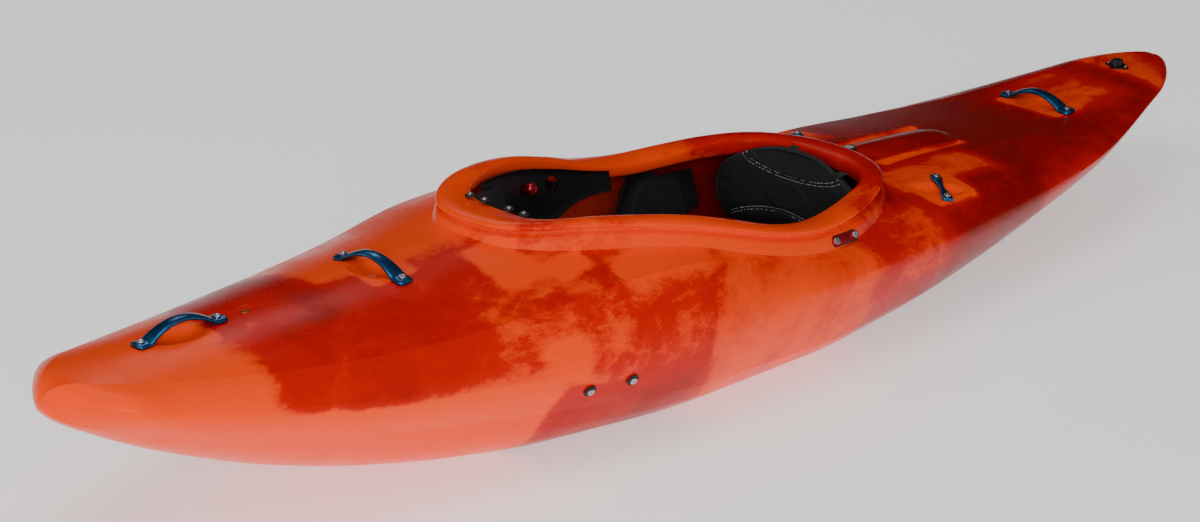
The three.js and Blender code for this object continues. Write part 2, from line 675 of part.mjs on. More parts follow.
function spineBody(thickness) {
  const middleX = (SPINE_FRONT_X + SPINE_REAR_X) / 2;
  const halfLength = (SPINE_REAR_X - SPINE_FRONT_X) / 2 - thickness;
  const halfWidth = SPINE_WIDTH / 2 - thickness;
  const rings = Array.from({ length: 11 }, (_, i) => {
    const t = -Math.cos((Math.PI * (i + 0.15)) / 10.3);
    const x = middleX + halfLength * t;
    const swell = (1 - t ** 6) ** 0.5;
    return Array.from({ length: 14 }, (__, j) => {
      const turn = (2 * Math.PI * j) / 14;
      const y = halfWidth * swell * Math.cos(turn);
      const rise = (SPINE_RISE + WALL) * swell * Math.sin(turn) ** 3 - WALL - thickness;
      return at(x, y, deckHeight(x, 0) + rise * (1 - 0.35 * (t + 1) / 2));
    });
  });
  return skinRings(rings);
}

const outerPlain = hullBody(0, HULL_STEPS, END_SHARE, fineShares);
const cavityPlain = hullBody(WALL, CAVITY_STEPS, CAVITY_END_SHARE, coarseShares);
const grown = hullBody(-GAP, HULL_STEPS, END_SHARE, fineShares);

function withForms(body, thickness) {
  let formed = body.add(spineBody(thickness));
  for (const dish of dishes) formed = formed.subtract(dishBody(dish, thickness));
  for (const [, side] of sides) formed = formed.subtract(grooveBody(side, thickness));
  return formed;
}

const outerBody = withForms(outerPlain, 0);
const cavity = withForms(cavityPlain, WALL);
const plainRoom = hullBody(WALL + GAP, CAVITY_STEPS, CAVITY_END_SHARE, coarseShares);
const cutout = deckCutout();
let hull = outerBody.subtract(cavity).subtract(cutout).add(rimBody);

// Fasteners

// Turned screw with a domed, socketed head. Its seat is the plane under the head.
function screwBody(seat, axis, size) {
  const { headRadius, headHeight, shankRadius, length, washerRadius = 0, washerThickness = 0 } = size;
  const socket = headRadius * SOCKET_SHARE;
  const rim = headHeight * HEAD_RIM_SHARE;
  const foot = washerThickness;
  const washer = washerRadius > 0 ? [[washerRadius, 0], [washerRadius, foot]] : [];
  const profile = [
    [0, -length],
    [shankRadius, -length],
    [shankRadius, 0],
    ...washer,
    [headRadius, foot],
    [headRadius, foot + rim],
    [headRadius * HEAD_TOP_SHARE, foot + headHeight],
    [socket, foot + headHeight],
    [socket, foot + rim],
    [0, foot + rim],
  ];
  const across = Math.abs(axis.x) > 0.9 ? UP : AFT;
  return placed(turned(profile, 8), seat, axis, across);
}

function drill(seat, axis, radius, deep, high) {
  const segments = radius > WALL ? 12 : 6;
  const corner = radius / Math.cos(Math.PI / segments);
  const bore = new THREE.CylinderGeometry(corner, corner, deep + high, segments);
  bore.rotateX(Math.PI / 2);
  bore.translate(0, 0, (high - deep) / 2);
  const across = Math.abs(axis.x) > 0.9 ? UP : AFT;
  return placed(bore, seat, axis, across);
}

const panHead = {
  headRadius: SCREW_HEAD_RADIUS,
  headHeight: SCREW_HEAD_HEIGHT,
  shankRadius: SCREW_SHANK_RADIUS,
};
const smallHead = {
  headRadius: SMALL_HEAD_RADIUS,
  headHeight: SMALL_HEAD_HEIGHT,
  shankRadius: SMALL_SHANK_RADIUS,
};
const washerHead = { ...panHead, washerRadius: WASHER_RADIUS, washerThickness: WASHER_THICKNESS };

// Carrying handles

// An arched strap with a waist and flat squared pads, each pad screwed to the deck.
function strapRings(centre, along, size) {
  const { spacing, length, arch, waist, padWidth, thickness, steps } = size;
  const across = new THREE.Vector3().crossVectors(UP, along);
  const reach = spacing / 2 - padWidth * 0.32;
  return Array.from({ length: steps + 1 }, (_, i) => {
    const place = (i / steps - 0.5) * length;
    const share = Math.min(Math.abs(place) / reach, 1);
    const height = arch * Math.cos((Math.PI / 2) * share) ** 1.15;
    const width = waist + (padWidth - waist) * share ** 1.6;
    const spot = centre.clone().addScaledVector(along, place);
    const base = deckHeight(spot.x + HALF_LENGTH, spot.y) - 1.5 * GAP;
    const end = deckHeight(
      centre.x + HALF_LENGTH + along.x * reach * Math.sign(place),
      centre.y + along.y * reach * Math.sign(place),
    );
    const floor = share < 1 ? end - 1.5 * GAP : base;
    const half = width / 2;
    const soft = thickness * 0.28;
    const corners = [
      [-half, soft], [-half + soft, 0], [half - soft, 0], [half, soft],
      [half, thickness - soft], [half - soft, thickness], [-half + soft, thickness],
      [-half, thickness - soft],
    ];
    const low = floor + height;
    return corners.map(([side, up]) => spot.clone().addScaledVector(across, side).setZ(low + up));
  });
}

function strapPiece(name, centre, along, size, screwNames) {
  const { spacing, thickness } = size;
  let strap = skinRings(strapRings(centre, along, size)).subtract(grown);
  screwNames.forEach((screwName, i) => {
    const spot = centre.clone().addScaledVector(along, (i - 0.5) * spacing);
    const x = spot.x + HALF_LENGTH;
    const top = deckHeight(x, spot.y) + thickness;
    const seat = spot.setZ(top + GAP);
    const bore = drill(seat, UP, SCREW_SHANK_RADIUS + GAP, thickness + 2 * WALL + OVERRUN, OVERRUN);
    const recess = drill(seat.clone().setZ(top - GAP), UP, SCREW_HEAD_RADIUS + GAP, 0, thickness);
    strap = strap.subtract(bore).subtract(recess);
    hull = hull.subtract(bore);
    const sunk = seat.clone().setZ(top);
    add(screwName, screwBody(sunk, UP, { ...panHead, length: thickness + 1.5 * WALL }), 'steel');
  });
  add(name, strap, 'blue');
}

const handleSize = {
  spacing: HANDLE_SPACING,
  length: HANDLE_LENGTH,
  arch: HANDLE_ARCH,
  waist: HANDLE_WAIST,
  padWidth: HANDLE_PAD_WIDTH,
  thickness: HANDLE_THICKNESS,
  steps: 10,
};
const SIDEWAYS = new THREE.Vector3(0, 1, 0);
strapPiece('bow_handle', at(BOW_HANDLE_X, 0, 0), AFT, handleSize,
  ['bow_handle_screw_front', 'bow_handle_screw_rear']);
strapPiece('fore_handle', at(FORE_HANDLE_X, 0, 0), SIDEWAYS, handleSize,
  ['fore_handle_screw_port', 'fore_handle_screw_starboard']);
strapPiece('stern_handle', at(STERN_HANDLE_X, 0, 0), SIDEWAYS, handleSize,
  ['stern_handle_screw_port', 'stern_handle_screw_starboard']);

// Security bars, one each side behind the cockpit

const barSize = {
  spacing: BAR_SPACING,
  length: BAR_LENGTH,
  arch: 0,
  waist: BAR_WAIST,
  padWidth: BAR_PAD_WIDTH,
  thickness: BAR_THICKNESS,
  steps: 6,
};
for (const [name, side] of sides) {
  const along = new THREE.Vector3(Math.cos(BAR_ANGLE), -side * Math.sin(BAR_ANGLE), 0);
  strapPiece(`${name}_security_bar`, at(BAR_X, side * BAR_Y, 0), along, barSize,
    [`${name}_bar_screw_outer`, `${name}_bar_screw_inner`]);
}

// Drain plug

function drainPlug() {
  const base = at(DRAIN_X, 0, deckHeight(DRAIN_X, 0));
  const normal = deckNormal(DRAIN_X, 0);
  const sunk = WALL / 4;
  const outline = (margin, low, depth) => {
    const foot = base.clone().addScaledVector(normal, low);
    const radius = DRAIN_FLANGE_RADIUS + margin;
    const plate = new THREE.CylinderGeometry(radius, radius, depth, 18);
    plate.rotateX(Math.PI / 2);
    plate.translate(0, 0, depth / 2);
    const disc = placed(plate, foot, normal, AFT);
    const ears = stadium(DRAIN_EAR_SPACING / 2, DRAIN_EAR_RADIUS + margin);
    return disc.add(placed(prism(ears, depth, 4), foot, normal, SIDEWAYS));
  };
  const collar = DRAIN_BORE_RADIUS + WALL / 2;
  const pipe = new THREE.CylinderGeometry(collar, collar, 2 * WALL, 12);
  pipe.rotateX(Math.PI / 2);
  let flange = outline(0, -sunk, DRAIN_FLANGE_THICKNESS + sunk);
  flange = flange.add(placed(pipe, base.clone().addScaledVector(normal, -WALL), normal, AFT));
  flange = flange.subtract(drill(base, normal, DRAIN_BORE_RADIUS, 4 * WALL, OVERRUN));
  hull = hull.subtract(drill(base, normal, collar + GAP, 4 * WALL, OVERRUN));
  hull = hull.subtract(outline(GAP, -sunk - GAP, 2 * WALL));
  for (const [name, side] of sides) {
    const seat = base.clone().addScaledVector(SIDEWAYS, (side * DRAIN_EAR_SPACING) / 2);
    seat.addScaledVector(normal, DRAIN_FLANGE_THICKNESS + GAP);
    const bore = drill(seat, normal, SMALL_SHANK_RADIUS + GAP, 3 * WALL, OVERRUN);
    flange = flange.subtract(bore);
    hull = hull.subtract(bore);
    add(`drain_screw_${name}`, screwBody(seat, normal, { ...smallHead, length: 1.5 * WALL }), 'steel');
  }
  add('drain_plug_flange', flange, 'black');
  const grip = DRAIN_KNOB_RADIUS;
  const high = DRAIN_KNOB_HEIGHT;
  const stem = DRAIN_BORE_RADIUS - GAP;
  const profile = [
    [0, -2 * WALL], [stem * 0.7, -2 * WALL], [stem, -1.6 * WALL], [stem, 0], [grip, 0],
    [grip, high * 0.45], [grip * 0.86, high * 0.8], [grip * 0.5, high], [0, high],
  ];
  const seat = base.addScaledVector(normal, DRAIN_FLANGE_THICKNESS + GAP);
  add('drain_plug_bung', placed(turned(profile, 14), seat, normal, AFT), 'black');
}
drainPlug();

// Cap on the rear deck and insert on the fore deck

function capPiece() {
  const seat = at(CAP_X, 0, deckHeight(CAP_X, 0) + SPINE_RISE * 0.9);
  const profile = [
    [0, -2 * WALL], [CAP_RADIUS * 0.4, -2 * WALL], [CAP_RADIUS * 0.4, 0], [CAP_RADIUS, 0],
    [CAP_RADIUS, CAP_HEIGHT * 0.5], [CAP_RADIUS * 0.82, CAP_HEIGHT], [0, CAP_HEIGHT],
  ];
  const bore = drill(seat, UP, CAP_RADIUS + GAP, 0, OVERRUN * 4);
  const stem = drill(seat, UP, CAP_RADIUS * 0.4 + GAP, 4 * WALL, OVERRUN);
  hull = hull.subtract(bore).subtract(stem);
  add('rear_deck_cap', placed(turned(profile, 16), seat.clone().setZ(seat.z + GAP), UP, AFT), 'black');
}
capPiece();

function insertPiece() {
  const normal = deckNormal(INSERT_X, 0);
  const seat = at(INSERT_X, 0, deckHeight(INSERT_X, 0));
  const profile = [
    [0, -INSERT_DEPTH], [INSERT_RADIUS, -INSERT_DEPTH], [INSERT_RADIUS, 0],
    [INSERT_RADIUS * 0.45, 0], [INSERT_RADIUS * 0.45, -INSERT_DEPTH * 0.6], [0, -INSERT_DEPTH * 0.6],
  ];
  hull = hull.subtract(drill(seat, normal, INSERT_RADIUS + GAP, INSERT_DEPTH + GAP, OVERRUN));
  add('deck_insert', placed(turned(profile, 10), seat, normal, AFT), 'brass');
}
insertPiece();

// Thigh braces under the rim

const braceSlide = new THREE.Vector3(
  BRACE_REAR_X - BRACE_FRONT_X,
  mouthBreadth(BRACE_REAR_X) - mouthBreadth(BRACE_FRONT_X),
  0,
).normalize();
const braceDepth = curveThrough(
  bracePlaceShares.map((share) => BRACE_FRONT_X + share * (BRACE_REAR_X - BRACE_FRONT_X)),
  braceDepthShares.map((share) => share * BRACE_DEPTH),
);

// Starboard brace surface: place along the boat, depth down its face, and depth inboard.
function bracePoint(x, down, inboard) {
  const lean = Math.atan2(BRACE_SLOPE, BRACE_DEPTH);
  const y = mouthBreadth(x) - BRACE_STAND_OFF - BRACE_SLOPE * (down / BRACE_DEPTH) ** 1.3;
  const z = crestHeight(x) - BRACE_TOP_DROP - down;
  return at(x, y - inboard * Math.cos(lean), z + inboard * Math.sin(lean));
}

function mirrored(solid, side) {
  return side > 0 ? solid : solid.mirror([0, 1, 0]);
}

const toSide = (point, side) => new THREE.Vector3(point.x, side * point.y, point.z);

function braceFace() {
  const surface = (inboard) => (a, b) => {
    const x = BRACE_FRONT_X + ((a + 1) / 2) * (BRACE_REAR_X - BRACE_FRONT_X);
    return bracePoint(x, ((b + 1) / 2) * braceDepth(x), inboard);
  };
  return gridSolid(10, 3, surface(BRACE_THICKNESS), surface(0));
}

// Flat tongue that runs forward under the front ledge and is slotted for the ledge bolts.
function braceTongue() {
  const rear = BRACE_FRONT_X + HIP_PAD_THICKNESS;
  const outerRear = mouthBreadth(rear) - BRACE_STAND_OFF - GAP;
  const outerFront = mouthBreadth(BRACE_FRONT_X) * 0.72;
  const shape = new THREE.Shape();
  shape.moveTo(BRACE_TONGUE_FRONT_X, BRACE_TONGUE_INNER_Y);
  shape.lineTo(BRACE_BOLT_X + 2 * BRACE_TRAVEL, BRACE_TONGUE_INNER_Y);
  const innerRear = outerRear - 4 * BRACE_THICKNESS;
  shape.quadraticCurveTo(BRACE_FRONT_X - BRACE_TRAVEL, outerFront / 2, rear, innerRear);
  shape.lineTo(rear, outerRear - BRACE_THICKNESS / 2);
  shape.lineTo(BRACE_FRONT_X, mouthBreadth(BRACE_FRONT_X) - BRACE_STAND_OFF);
  const bendX = BRACE_FRONT_X - 3 * BRACE_TRAVEL;
  shape.quadraticCurveTo(bendX, outerFront, BRACE_TONGUE_FRONT_X, outerFront * 0.9);
  const geometry = prism(shape, BRACE_THICKNESS, 5);
  geometry.translate(-HALF_LENGTH, 0, 0);
  return toManifold(geometry);
}

const ledgeHeight = crestHeight(BRACE_BOLT_X) - LEDGE_DROP - RIM_GROOVE;
const knobDown = KNOB_DROP - BRACE_TOP_DROP;
const knobBack = bracePoint(KNOB_X, knobDown, 0);
// The knob stands square to the way the brace slides.
const knobLean = new THREE.Vector3().subVectors(bracePoint(KNOB_X, knobDown, BRACE_THICKNESS), knobBack);
const knobAxis = knobLean.addScaledVector(braceSlide, -knobLean.dot(braceSlide)).normalize();

function slotCutter(centre, axis, along, radius, depth) {
  const geometry = prism(stadium(BRACE_TRAVEL + GAP, radius), depth, 4);
  geometry.translate(0, 0, -depth / 2);
  return placed(geometry, centre, axis, along);
}

function bracePieces() {
  const shelf = ledgeHeight - BRACE_THICKNESS - GAP;
  let brace = braceFace().add(braceTongue().translate([0, 0, shelf]));
  for (const y of BRACE_BOLT_Y) {
    brace = brace.subtract(slotCutter(
      at(BRACE_BOLT_X, y, shelf), UP, braceSlide, SCREW_SHANK_RADIUS + 2 * GAP, 4 * BRACE_THICKNESS));
  }
  brace = brace.subtract(slotCutter(knobBack, knobAxis, braceSlide, KNOB_STEM_RADIUS + 2 * GAP,
    4 * BRACE_THICKNESS));
  const knobFace = knobBack.clone().addScaledVector(knobAxis, BRACE_THICKNESS);
  const recess = prism(stadium(BRACE_TRAVEL + GAP, KNOB_RADIUS + 2 * GAP), KNOB_HEIGHT, 4);
  brace = brace.subtract(placed(recess, knobFace, knobAxis, braceSlide));
  const holeDown = BRACE_HOLE_RADIUS * 2.2;
  brace = brace.subtract(drill(bracePoint(BRACE_HOLE_X, holeDown, 0), knobAxis, BRACE_HOLE_RADIUS,
    3 * BRACE_THICKNESS, 3 * BRACE_THICKNESS));

  // Mount behind the brace: a rail that takes the knob's stem, with a post up into the rim.
  const front = KNOB_X - 2 * KNOB_RADIUS;
  const rear = RIM_BOLT_X + 2 * KNOB_STEM_RADIUS;
  const top = RIM_SKIRT + 6 * GAP - BRACE_TOP_DROP;
  const tall = 2 * KNOB_RADIUS + WALL;
  const rail = (inboard) => (a, b) => {
    const x = front + ((a + 1) / 2) * (rear - front);
    return bracePoint(x, top + ((b + 1) / 2) * tall, inboard);
  };
  const railGap = 7 * GAP;
  let mount = gridSolid(6, 1, rail(-railGap), rail(-railGap - 2 * WALL));
  const postX = RIM_BOLT_X;
  const postY = mouthBreadth(postX) + RIM_WALL + 6 * GAP + KNOB_STEM_RADIUS;
  const postTop = crestHeight(postX) - RIM_GROOVE + KNOB_STEM_RADIUS;
  const postFoot = crestHeight(postX) - BRACE_TOP_DROP - top - tall / 2;
  const post = new THREE.CylinderGeometry(KNOB_STEM_RADIUS, KNOB_STEM_RADIUS, postTop - postFoot, 10);
  post.rotateX(Math.PI / 2);
  const postPlace = at(postX, postY, (postTop + postFoot) / 2);
  post.translate(postPlace.x, postPlace.y, postPlace.z);
  const web = new THREE.BoxGeometry(2 * KNOB_STEM_RADIUS, 3 * WALL, tall / 2);
  const webPlace = at(postX, postY - WALL, postFoot + WALL / 2);
  web.translate(webPlace.x, webPlace.y, webPlace.z);
  mount = mount.add(toManifold(post)).add(toManifold(web));
  const stemHole = drill(knobBack, knobAxis, KNOB_STEM_RADIUS + GAP, 2 * WALL, OVERRUN);
  const holeCentre = bracePoint(BRACE_HOLE_X, holeDown, 0);
  const behindHole = drill(holeCentre, knobAxis, BRACE_HOLE_RADIUS + GAP, 4 * WALL, OVERRUN);
  mount = mount.subtract(stemHole).subtract(behindHole);

  const boltSeat = at(postX, postY, crestHeight(postX) + 2 * GAP);
  const boltLength = crestHeight(postX) + 2 * GAP - postTop + 2 * WALL;
  mount = mount.subtract(drill(boltSeat, UP, SMALL_SHANK_RADIUS + GAP, boltLength + GAP, OVERRUN));

  const knobSeat = knobBack.clone().addScaledVector(knobAxis, BRACE_THICKNESS + GAP);
  const knobProfile = [
    [0, -2.2 * WALL], [KNOB_STEM_RADIUS, -2.2 * WALL], [KNOB_STEM_RADIUS, 0], [KNOB_RADIUS, 0],
    [KNOB_RADIUS, KNOB_HEIGHT * 0.7], [KNOB_RADIUS * 0.8, KNOB_HEIGHT], [0, KNOB_HEIGHT],
  ];
  let knob = placed(turned(knobProfile, 12), knobSeat, knobAxis, AFT);
  for (let i = 0; i < 4; i += 1) {
    const turn = (Math.PI / 2) * i + Math.PI / 4;
    const flute = new THREE.CylinderGeometry(KNOB_RADIUS * 0.35, KNOB_RADIUS * 0.35, KNOB_HEIGHT, 6);
    flute.rotateX(Math.PI / 2);
    const reach = KNOB_RADIUS * 1.08;
    flute.translate(reach * Math.cos(turn), reach * Math.sin(turn), KNOB_HEIGHT * 0.75);
    knob = knob.subtract(placed(flute, knobSeat, knobAxis, AFT));
  }

  const ledgeBolt = {
    ...washerHead,
    washerRadius: WASHER_RADIUS * 0.8,
    headRadius: SCREW_HEAD_RADIUS * 0.75,
  };
  for (const [name, side] of sides) {
    add(`${name}_thigh_brace`, mirrored(brace, side), 'black');
    add(`${name}_brace_mount`, mirrored(mount, side), 'black');
    add(`${name}_brace_knob`, mirrored(knob, side), 'red');
    const rimSeat = toSide(boltSeat, side);
    hull = hull.subtract(drill(rimSeat, UP, SMALL_SHANK_RADIUS + GAP, 2 * RIM_SKIRT, OVERRUN));
    hull = hull.subtract(drill(rimSeat, UP, SMALL_HEAD_RADIUS + GAP, GAP, OVERRUN));
    add(`${name}_rim_bolt`, screwBody(rimSeat, UP, { ...smallHead, length: boltLength }), 'steel');
    BRACE_BOLT_Y.forEach((y, i) => {
      const ledgeTop = crestHeight(BRACE_BOLT_X) - LEDGE_DROP;
      const seat = at(BRACE_BOLT_X, side * y, ledgeTop + 2 * WASHER_THICKNESS);
      const length = seat.z - shelf + 2 * WALL;
      hull = hull.subtract(drill(seat, UP, SCREW_SHANK_RADIUS + GAP, length + OVERRUN, 0));
      hull = hull.subtract(drill(seat, UP, WASHER_RADIUS * 0.8 + GAP, 0, 2 * WALL));
      seat.z += GAP;
      add(`${name}_brace_bolt_${i + 1}`, screwBody(seat, UP, { ...ledgeBolt, length }), 'rubber');
    });
  }
}
bracePieces();

// Seat pan, pads and hip plates

const seatPlaces = seatPlaceShares.map((share) => PAN_FRONT_X + share * (SEAT_REAR_X - PAN_FRONT_X));
const seatTop = curveThrough(seatPlaces, seatTopShares);
const seatReach = curveThrough(seatPlaces, seatReachShares);
const seatOut = curveThrough(seatGirthShares, seatOutShares);
const seatUp = curveThrough(seatGirthShares, seatUpShares);
const hipCrest = crestHeight(HIP_PLATE_X);
const wingHeight = hipCrest - RIM_SWELL - WALL - SEAT_FLOOR;

// Seat pan surface: place along the boat, share of its girth, and depth off its outside.
function seatPoint(x, girth, depth) {
  const reach = seatReach(x) * (Math.min(rimBreadth(x), rimBreadth(HIP_PLATE_X)) - 2.6 * RIM_WALL);
  const share = Math.abs(girth);
  const spot = (s) => [reach * seatOut(s), wingHeight * seatTop(x) * seatUp(s)];
  const stepShare = 0.02;
  const [y0, z0] = spot(Math.max(share - stepShare, 0));
  const [y1, z1] = spot(Math.min(share + stepShare, 1));
  const run = Math.hypot(y1 - y0, z1 - z0);
  const [y, z] = spot(share);
  const inY = share === 0 ? 0 : (-(z1 - z0) / run) * depth;
  return at(x, Math.sign(girth) * (y + inY), SEAT_FLOOR + z + ((y1 - y0) / run) * depth);
}

const backFootX = BACK_TOP_X - BACK_HEIGHT * Math.tan(BACK_RAKE);
const backFootZ = BACK_TOP_Z - BACK_HEIGHT;
const hingeZ = backFootZ - 2 * HINGE_BAR_RADIUS;

function seatPieces() {
  const skin = (depth) => (a, b) => {
    const x = PAN_FRONT_X + ((a + 1) / 2) * (SEAT_REAR_X - PAN_FRONT_X);
    return seatPoint(x, b, depth);
  };
  let pan = gridSolid(9, 16, skin(SEAT_PLY), skin(0));
  const panRoom = gridSolid(9, 16, skin(SEAT_PLY + GAP), skin(-SEAT_PLY));
  const earShape = new THREE.Shape();
  const earRadius = 2 * HINGE_BAR_RADIUS;
  earShape.absarc(backFootX - HALF_LENGTH, hingeZ, earRadius, -Math.PI / 4, Math.PI, false);
  earShape.lineTo(SEAT_REAR_X - HALF_LENGTH - 5 * SEAT_PLY, SEAT_FLOOR + SEAT_PLY / 2);
  earShape.lineTo(SEAT_REAR_X - HALF_LENGTH - SEAT_PLY, SEAT_FLOOR + SEAT_PLY / 2);
  for (const [, side] of sides) {
    const ear = prism(earShape, SEAT_PLY, 6);
    ear.rotateX(Math.PI / 2);
    ear.translate(0, side * EAR_Y + SEAT_PLY / 2, 0);
    pan = pan.add(toManifold(ear));
  }
  const hinge = at(backFootX, 0, hingeZ);
  pan = pan.subtract(drill(hinge, SIDEWAYS, HINGE_BAR_RADIUS + GAP, EAR_Y * 2, EAR_Y * 2));

  const padFront = SEAT_FRONT_X + 2 * SEAT_PLY;
  const padRear = SEAT_REAR_X - 6 * SEAT_PLY;
  const padGirth = 0.5;
  const padFace = (a, b) => {
    const x = padFront + ((a + 1) / 2) * (padRear - padFront);
    const edge = Math.sqrt((1 - a ** 6) * (1 - b ** 6));
    const groove = Math.exp(-(((Math.abs(b) - 0.5) / 0.1) ** 2)) * 0.18 * (1 - a ** 4);
    const dip = 0.3 * (1 - (2 * b * b - 1) ** 2);
    const rise = SEAT_PAD_THICKNESS * (0.3 + edge * (0.7 - groove - dip * 0.3));
    const spot = seatPoint(x, b * padGirth * (1 - 0.06 * a * a), SEAT_PLY / 2);
    return spot.setZ(spot.z + rise);
  };
  const padBack = (a, b) => seatPoint(
    padFront + ((a + 1) / 2) * (padRear - padFront),
    b * padGirth * (1 - 0.06 * a * a),
    SEAT_PLY / 2,
  );
  const seatPad = gridSolid(8, 12, padFace, padBack).subtract(panRoom);

  const lifterRear = SEAT_FRONT_X;
  const lifterFront = PAN_FRONT_X + SEAT_PLY;
  const lifterFace = (a, b) => {
    const x = lifterFront + ((a + 1) / 2) * (lifterRear - lifterFront);
    const edge = Math.sqrt((1 - a ** 6) * (1 - b ** 6));
    const spot = seatPoint(x, b * 0.42, SEAT_PLY / 2);
    return spot.setZ(SEAT_FLOOR + SEAT_PLY + SEAT_PAD_THICKNESS * (0.35 + edge * (0.75 - 0.25 * a)));
  };
  const lifterBack = (a, b) => seatPoint(
    lifterFront + ((a + 1) / 2) * (lifterRear - lifterFront), b * 0.42, SEAT_PLY / 2);
  const lifter = gridSolid(6, 8, lifterFace, lifterBack).subtract(panRoom);

  const hipFront = SEAT_FRONT_X + 4 * SEAT_PLY;
  const hipRear = SEAT_REAR_X - 10 * SEAT_PLY;
  const hipPoint = (a, b, depth) => {
    const x = hipFront + ((a + 1) / 2) * (hipRear - hipFront);
    return seatPoint(x, 0.74 + 0.14 * b * (1 - 0.2 * a * a), depth);
  };
  const hipFace = (a, b) => {
    const edge = Math.sqrt((1 - a ** 6) * (1 - b ** 6));
    return hipPoint(a, b, SEAT_PLY + GAP + HIP_PAD_THICKNESS * (0.3 + 0.7 * edge));
  };
  const hipBack = (a, b) => hipPoint(a, b, SEAT_PLY / 2);
  const hipPad = gridSolid(7, 6, hipFace, hipBack).subtract(panRoom);

  // Red plates outside the rim hold the top of the pan's wings with two bolts each.
  const outward = new THREE.Vector3(0, RIM_SWELL - RIM_GROOVE, WALL + 3 * GAP).normalize();
  const lipY = rimBreadth(HIP_PLATE_X);
  const hipZ = hipCrest - RIM_SWELL - WALL + GAP;
  const face = at(HIP_PLATE_X, lipY + WALL / 2, hipZ);
  for (const [name, side] of sides) {
    const axis = toSide(outward, side);
    const spot = toSide(face, side);
    const margin = HIP_GASKET_MARGIN;
    const halfLength = (HIP_PLATE_LENGTH - HIP_PLATE_HEIGHT) / 2;
    const layer = (radius, low, depth) => placed(
      prism(stadium(halfLength, radius), depth, 5),
      spot.clone().addScaledVector(axis, low), axis, AFT);
    hull = hull.subtract(layer(HIP_PLATE_HEIGHT / 2 + margin + GAP, 0, 4 * WALL));
    let gasket = layer(HIP_PLATE_HEIGHT / 2 + margin, GAP, HIP_GASKET_THICKNESS);
    let plate = layer(HIP_PLATE_HEIGHT / 2, HIP_GASKET_THICKNESS + 2 * GAP, HIP_PLATE_THICKNESS);
    const seatLow = HIP_GASKET_THICKNESS + HIP_PLATE_THICKNESS + 3 * GAP;
    [-1, 1].forEach((end, i) => {
      const seat = spot.clone().addScaledVector(axis, seatLow);
      seat.x += (end * HIP_BOLT_SPACING) / 2;
      const bore = drill(seat, axis, SCREW_SHANK_RADIUS + GAP, 6 * WALL, OVERRUN);
      gasket = gasket.subtract(bore);
      plate = plate.subtract(bore);
      hull = hull.subtract(bore);
      pan = pan.subtract(bore);
      add(`${name}_hip_bolt_${i + 1}`, screwBody(seat, axis, { ...panHead, length: 5 * WALL }), 'steel');
    });
    add(`${name}_hip_gasket`, gasket, 'rubber');
    add(`${name}_hip_plate`, plate, 'red');
    add(`${name}_hip_pad`, mirrored(hipPad, side).subtract(panRoom), 'foam');
  }
  add('seat_pan', pan, 'black');
  add('seat_pad', seatPad, 'cloth');
  add('leg_lifter', lifter, 'foam');
}
seatPieces();

// Backrest

// Backrest surface: shares across and up, and depth in front of the shell's rear face.
function backPoint(a, b, depth) {
  const taper = b > 0 ? BACK_TOP_TAPER_SHARE : BACK_FOOT_TAPER_SHARE;
  const y = (BACK_WIDTH / 2) * a * (1 - taper * b * b);
  const up = (BACK_HEIGHT / 2) * (1 + b * (1 - 0.2 * a * a));
  const x = backFootX + up * Math.tan(BACK_RAKE) - BACK_WRAP * Math.abs(a) ** 2.2 - depth;
  return at(x, y, backFootZ + up);
}

function backrest() {
  const shellFace = (a, b) => backPoint(a * 0.94, b * 0.92, 0);
  const shellBack = (a, b) => backPoint(a * 0.94, b * 0.92, -BACK_SHELL_THICKNESS);
  let shell = gridSolid(10, 5, shellFace, shellBack);
  const barLength = 2 * EAR_Y + 3 * SEAT_PLY;
  const bar = new THREE.CylinderGeometry(HINGE_BAR_RADIUS, HINGE_BAR_RADIUS, barLength, 12);
  const barPlace = at(backFootX, 0, hingeZ);
  bar.translate(barPlace.x, barPlace.y, barPlace.z);
  const lugTop = BACK_HEIGHT / 5;
  const lugX = backFootX - HALF_LENGTH + BACK_SHELL_THICKNESS / 4;
  const lugLean = lugTop * Math.tan(BACK_RAKE);
  const lugShape = new THREE.Shape();
  lugShape.moveTo(lugX, hingeZ);
  lugShape.lineTo(lugX + BACK_SHELL_THICKNESS, hingeZ);
  lugShape.lineTo(lugX + BACK_SHELL_THICKNESS / 2 + lugLean, backFootZ + lugTop);
  lugShape.lineTo(lugX + lugLean, backFootZ + lugTop);
  lugShape.lineTo(lugX, backFootZ);
  const lug = prism(lugShape, EAR_Y, 1);
  lug.rotateX(Math.PI / 2);
  lug.translate(0, EAR_Y / 2, 0);
  shell = shell.add(toManifold(bar)).add(toManifold(lug));
  add('backrest_shell', shell, 'black');
  const seam = (offset, width) => Math.exp(-((offset / width) ** 2));
  const padFace = (a, b) => {
    const edge = Math.sqrt((1 - a ** 8) * (1 - b ** 8));
    const upper = seam(b - 0.47 - 0.46 * a * a, 0.08);
    const lower = seam(b + 0.25 + 0.75 * a * a, 0.08);
    const lumbar = 0.25 * Math.exp(-((b + 0.25) ** 2) / 0.2) * (1 - a * a);
    const crown = 0.3 + edge * (0.5 + lumbar - 0.16 * upper - 0.16 * lower);
    return backPoint(a, b, BACK_PAD_GAP + BACK_PAD_THICKNESS * crown);
  };
  const padBack = (a, b) => backPoint(a, b, BACK_PAD_GAP);
  const pad = gridSolid(10, 14, padFace, padBack);
  add('backrest_pad', pad, 'cloth');
}
backrest();

// Footrest on its rails

const footBend = (x) => {
  const t = Math.min(Math.max((x - FOOT_BEND_X) / FOOT_BEND_LENGTH, 0), 1);
  return t * t * (3 - 2 * t);
};

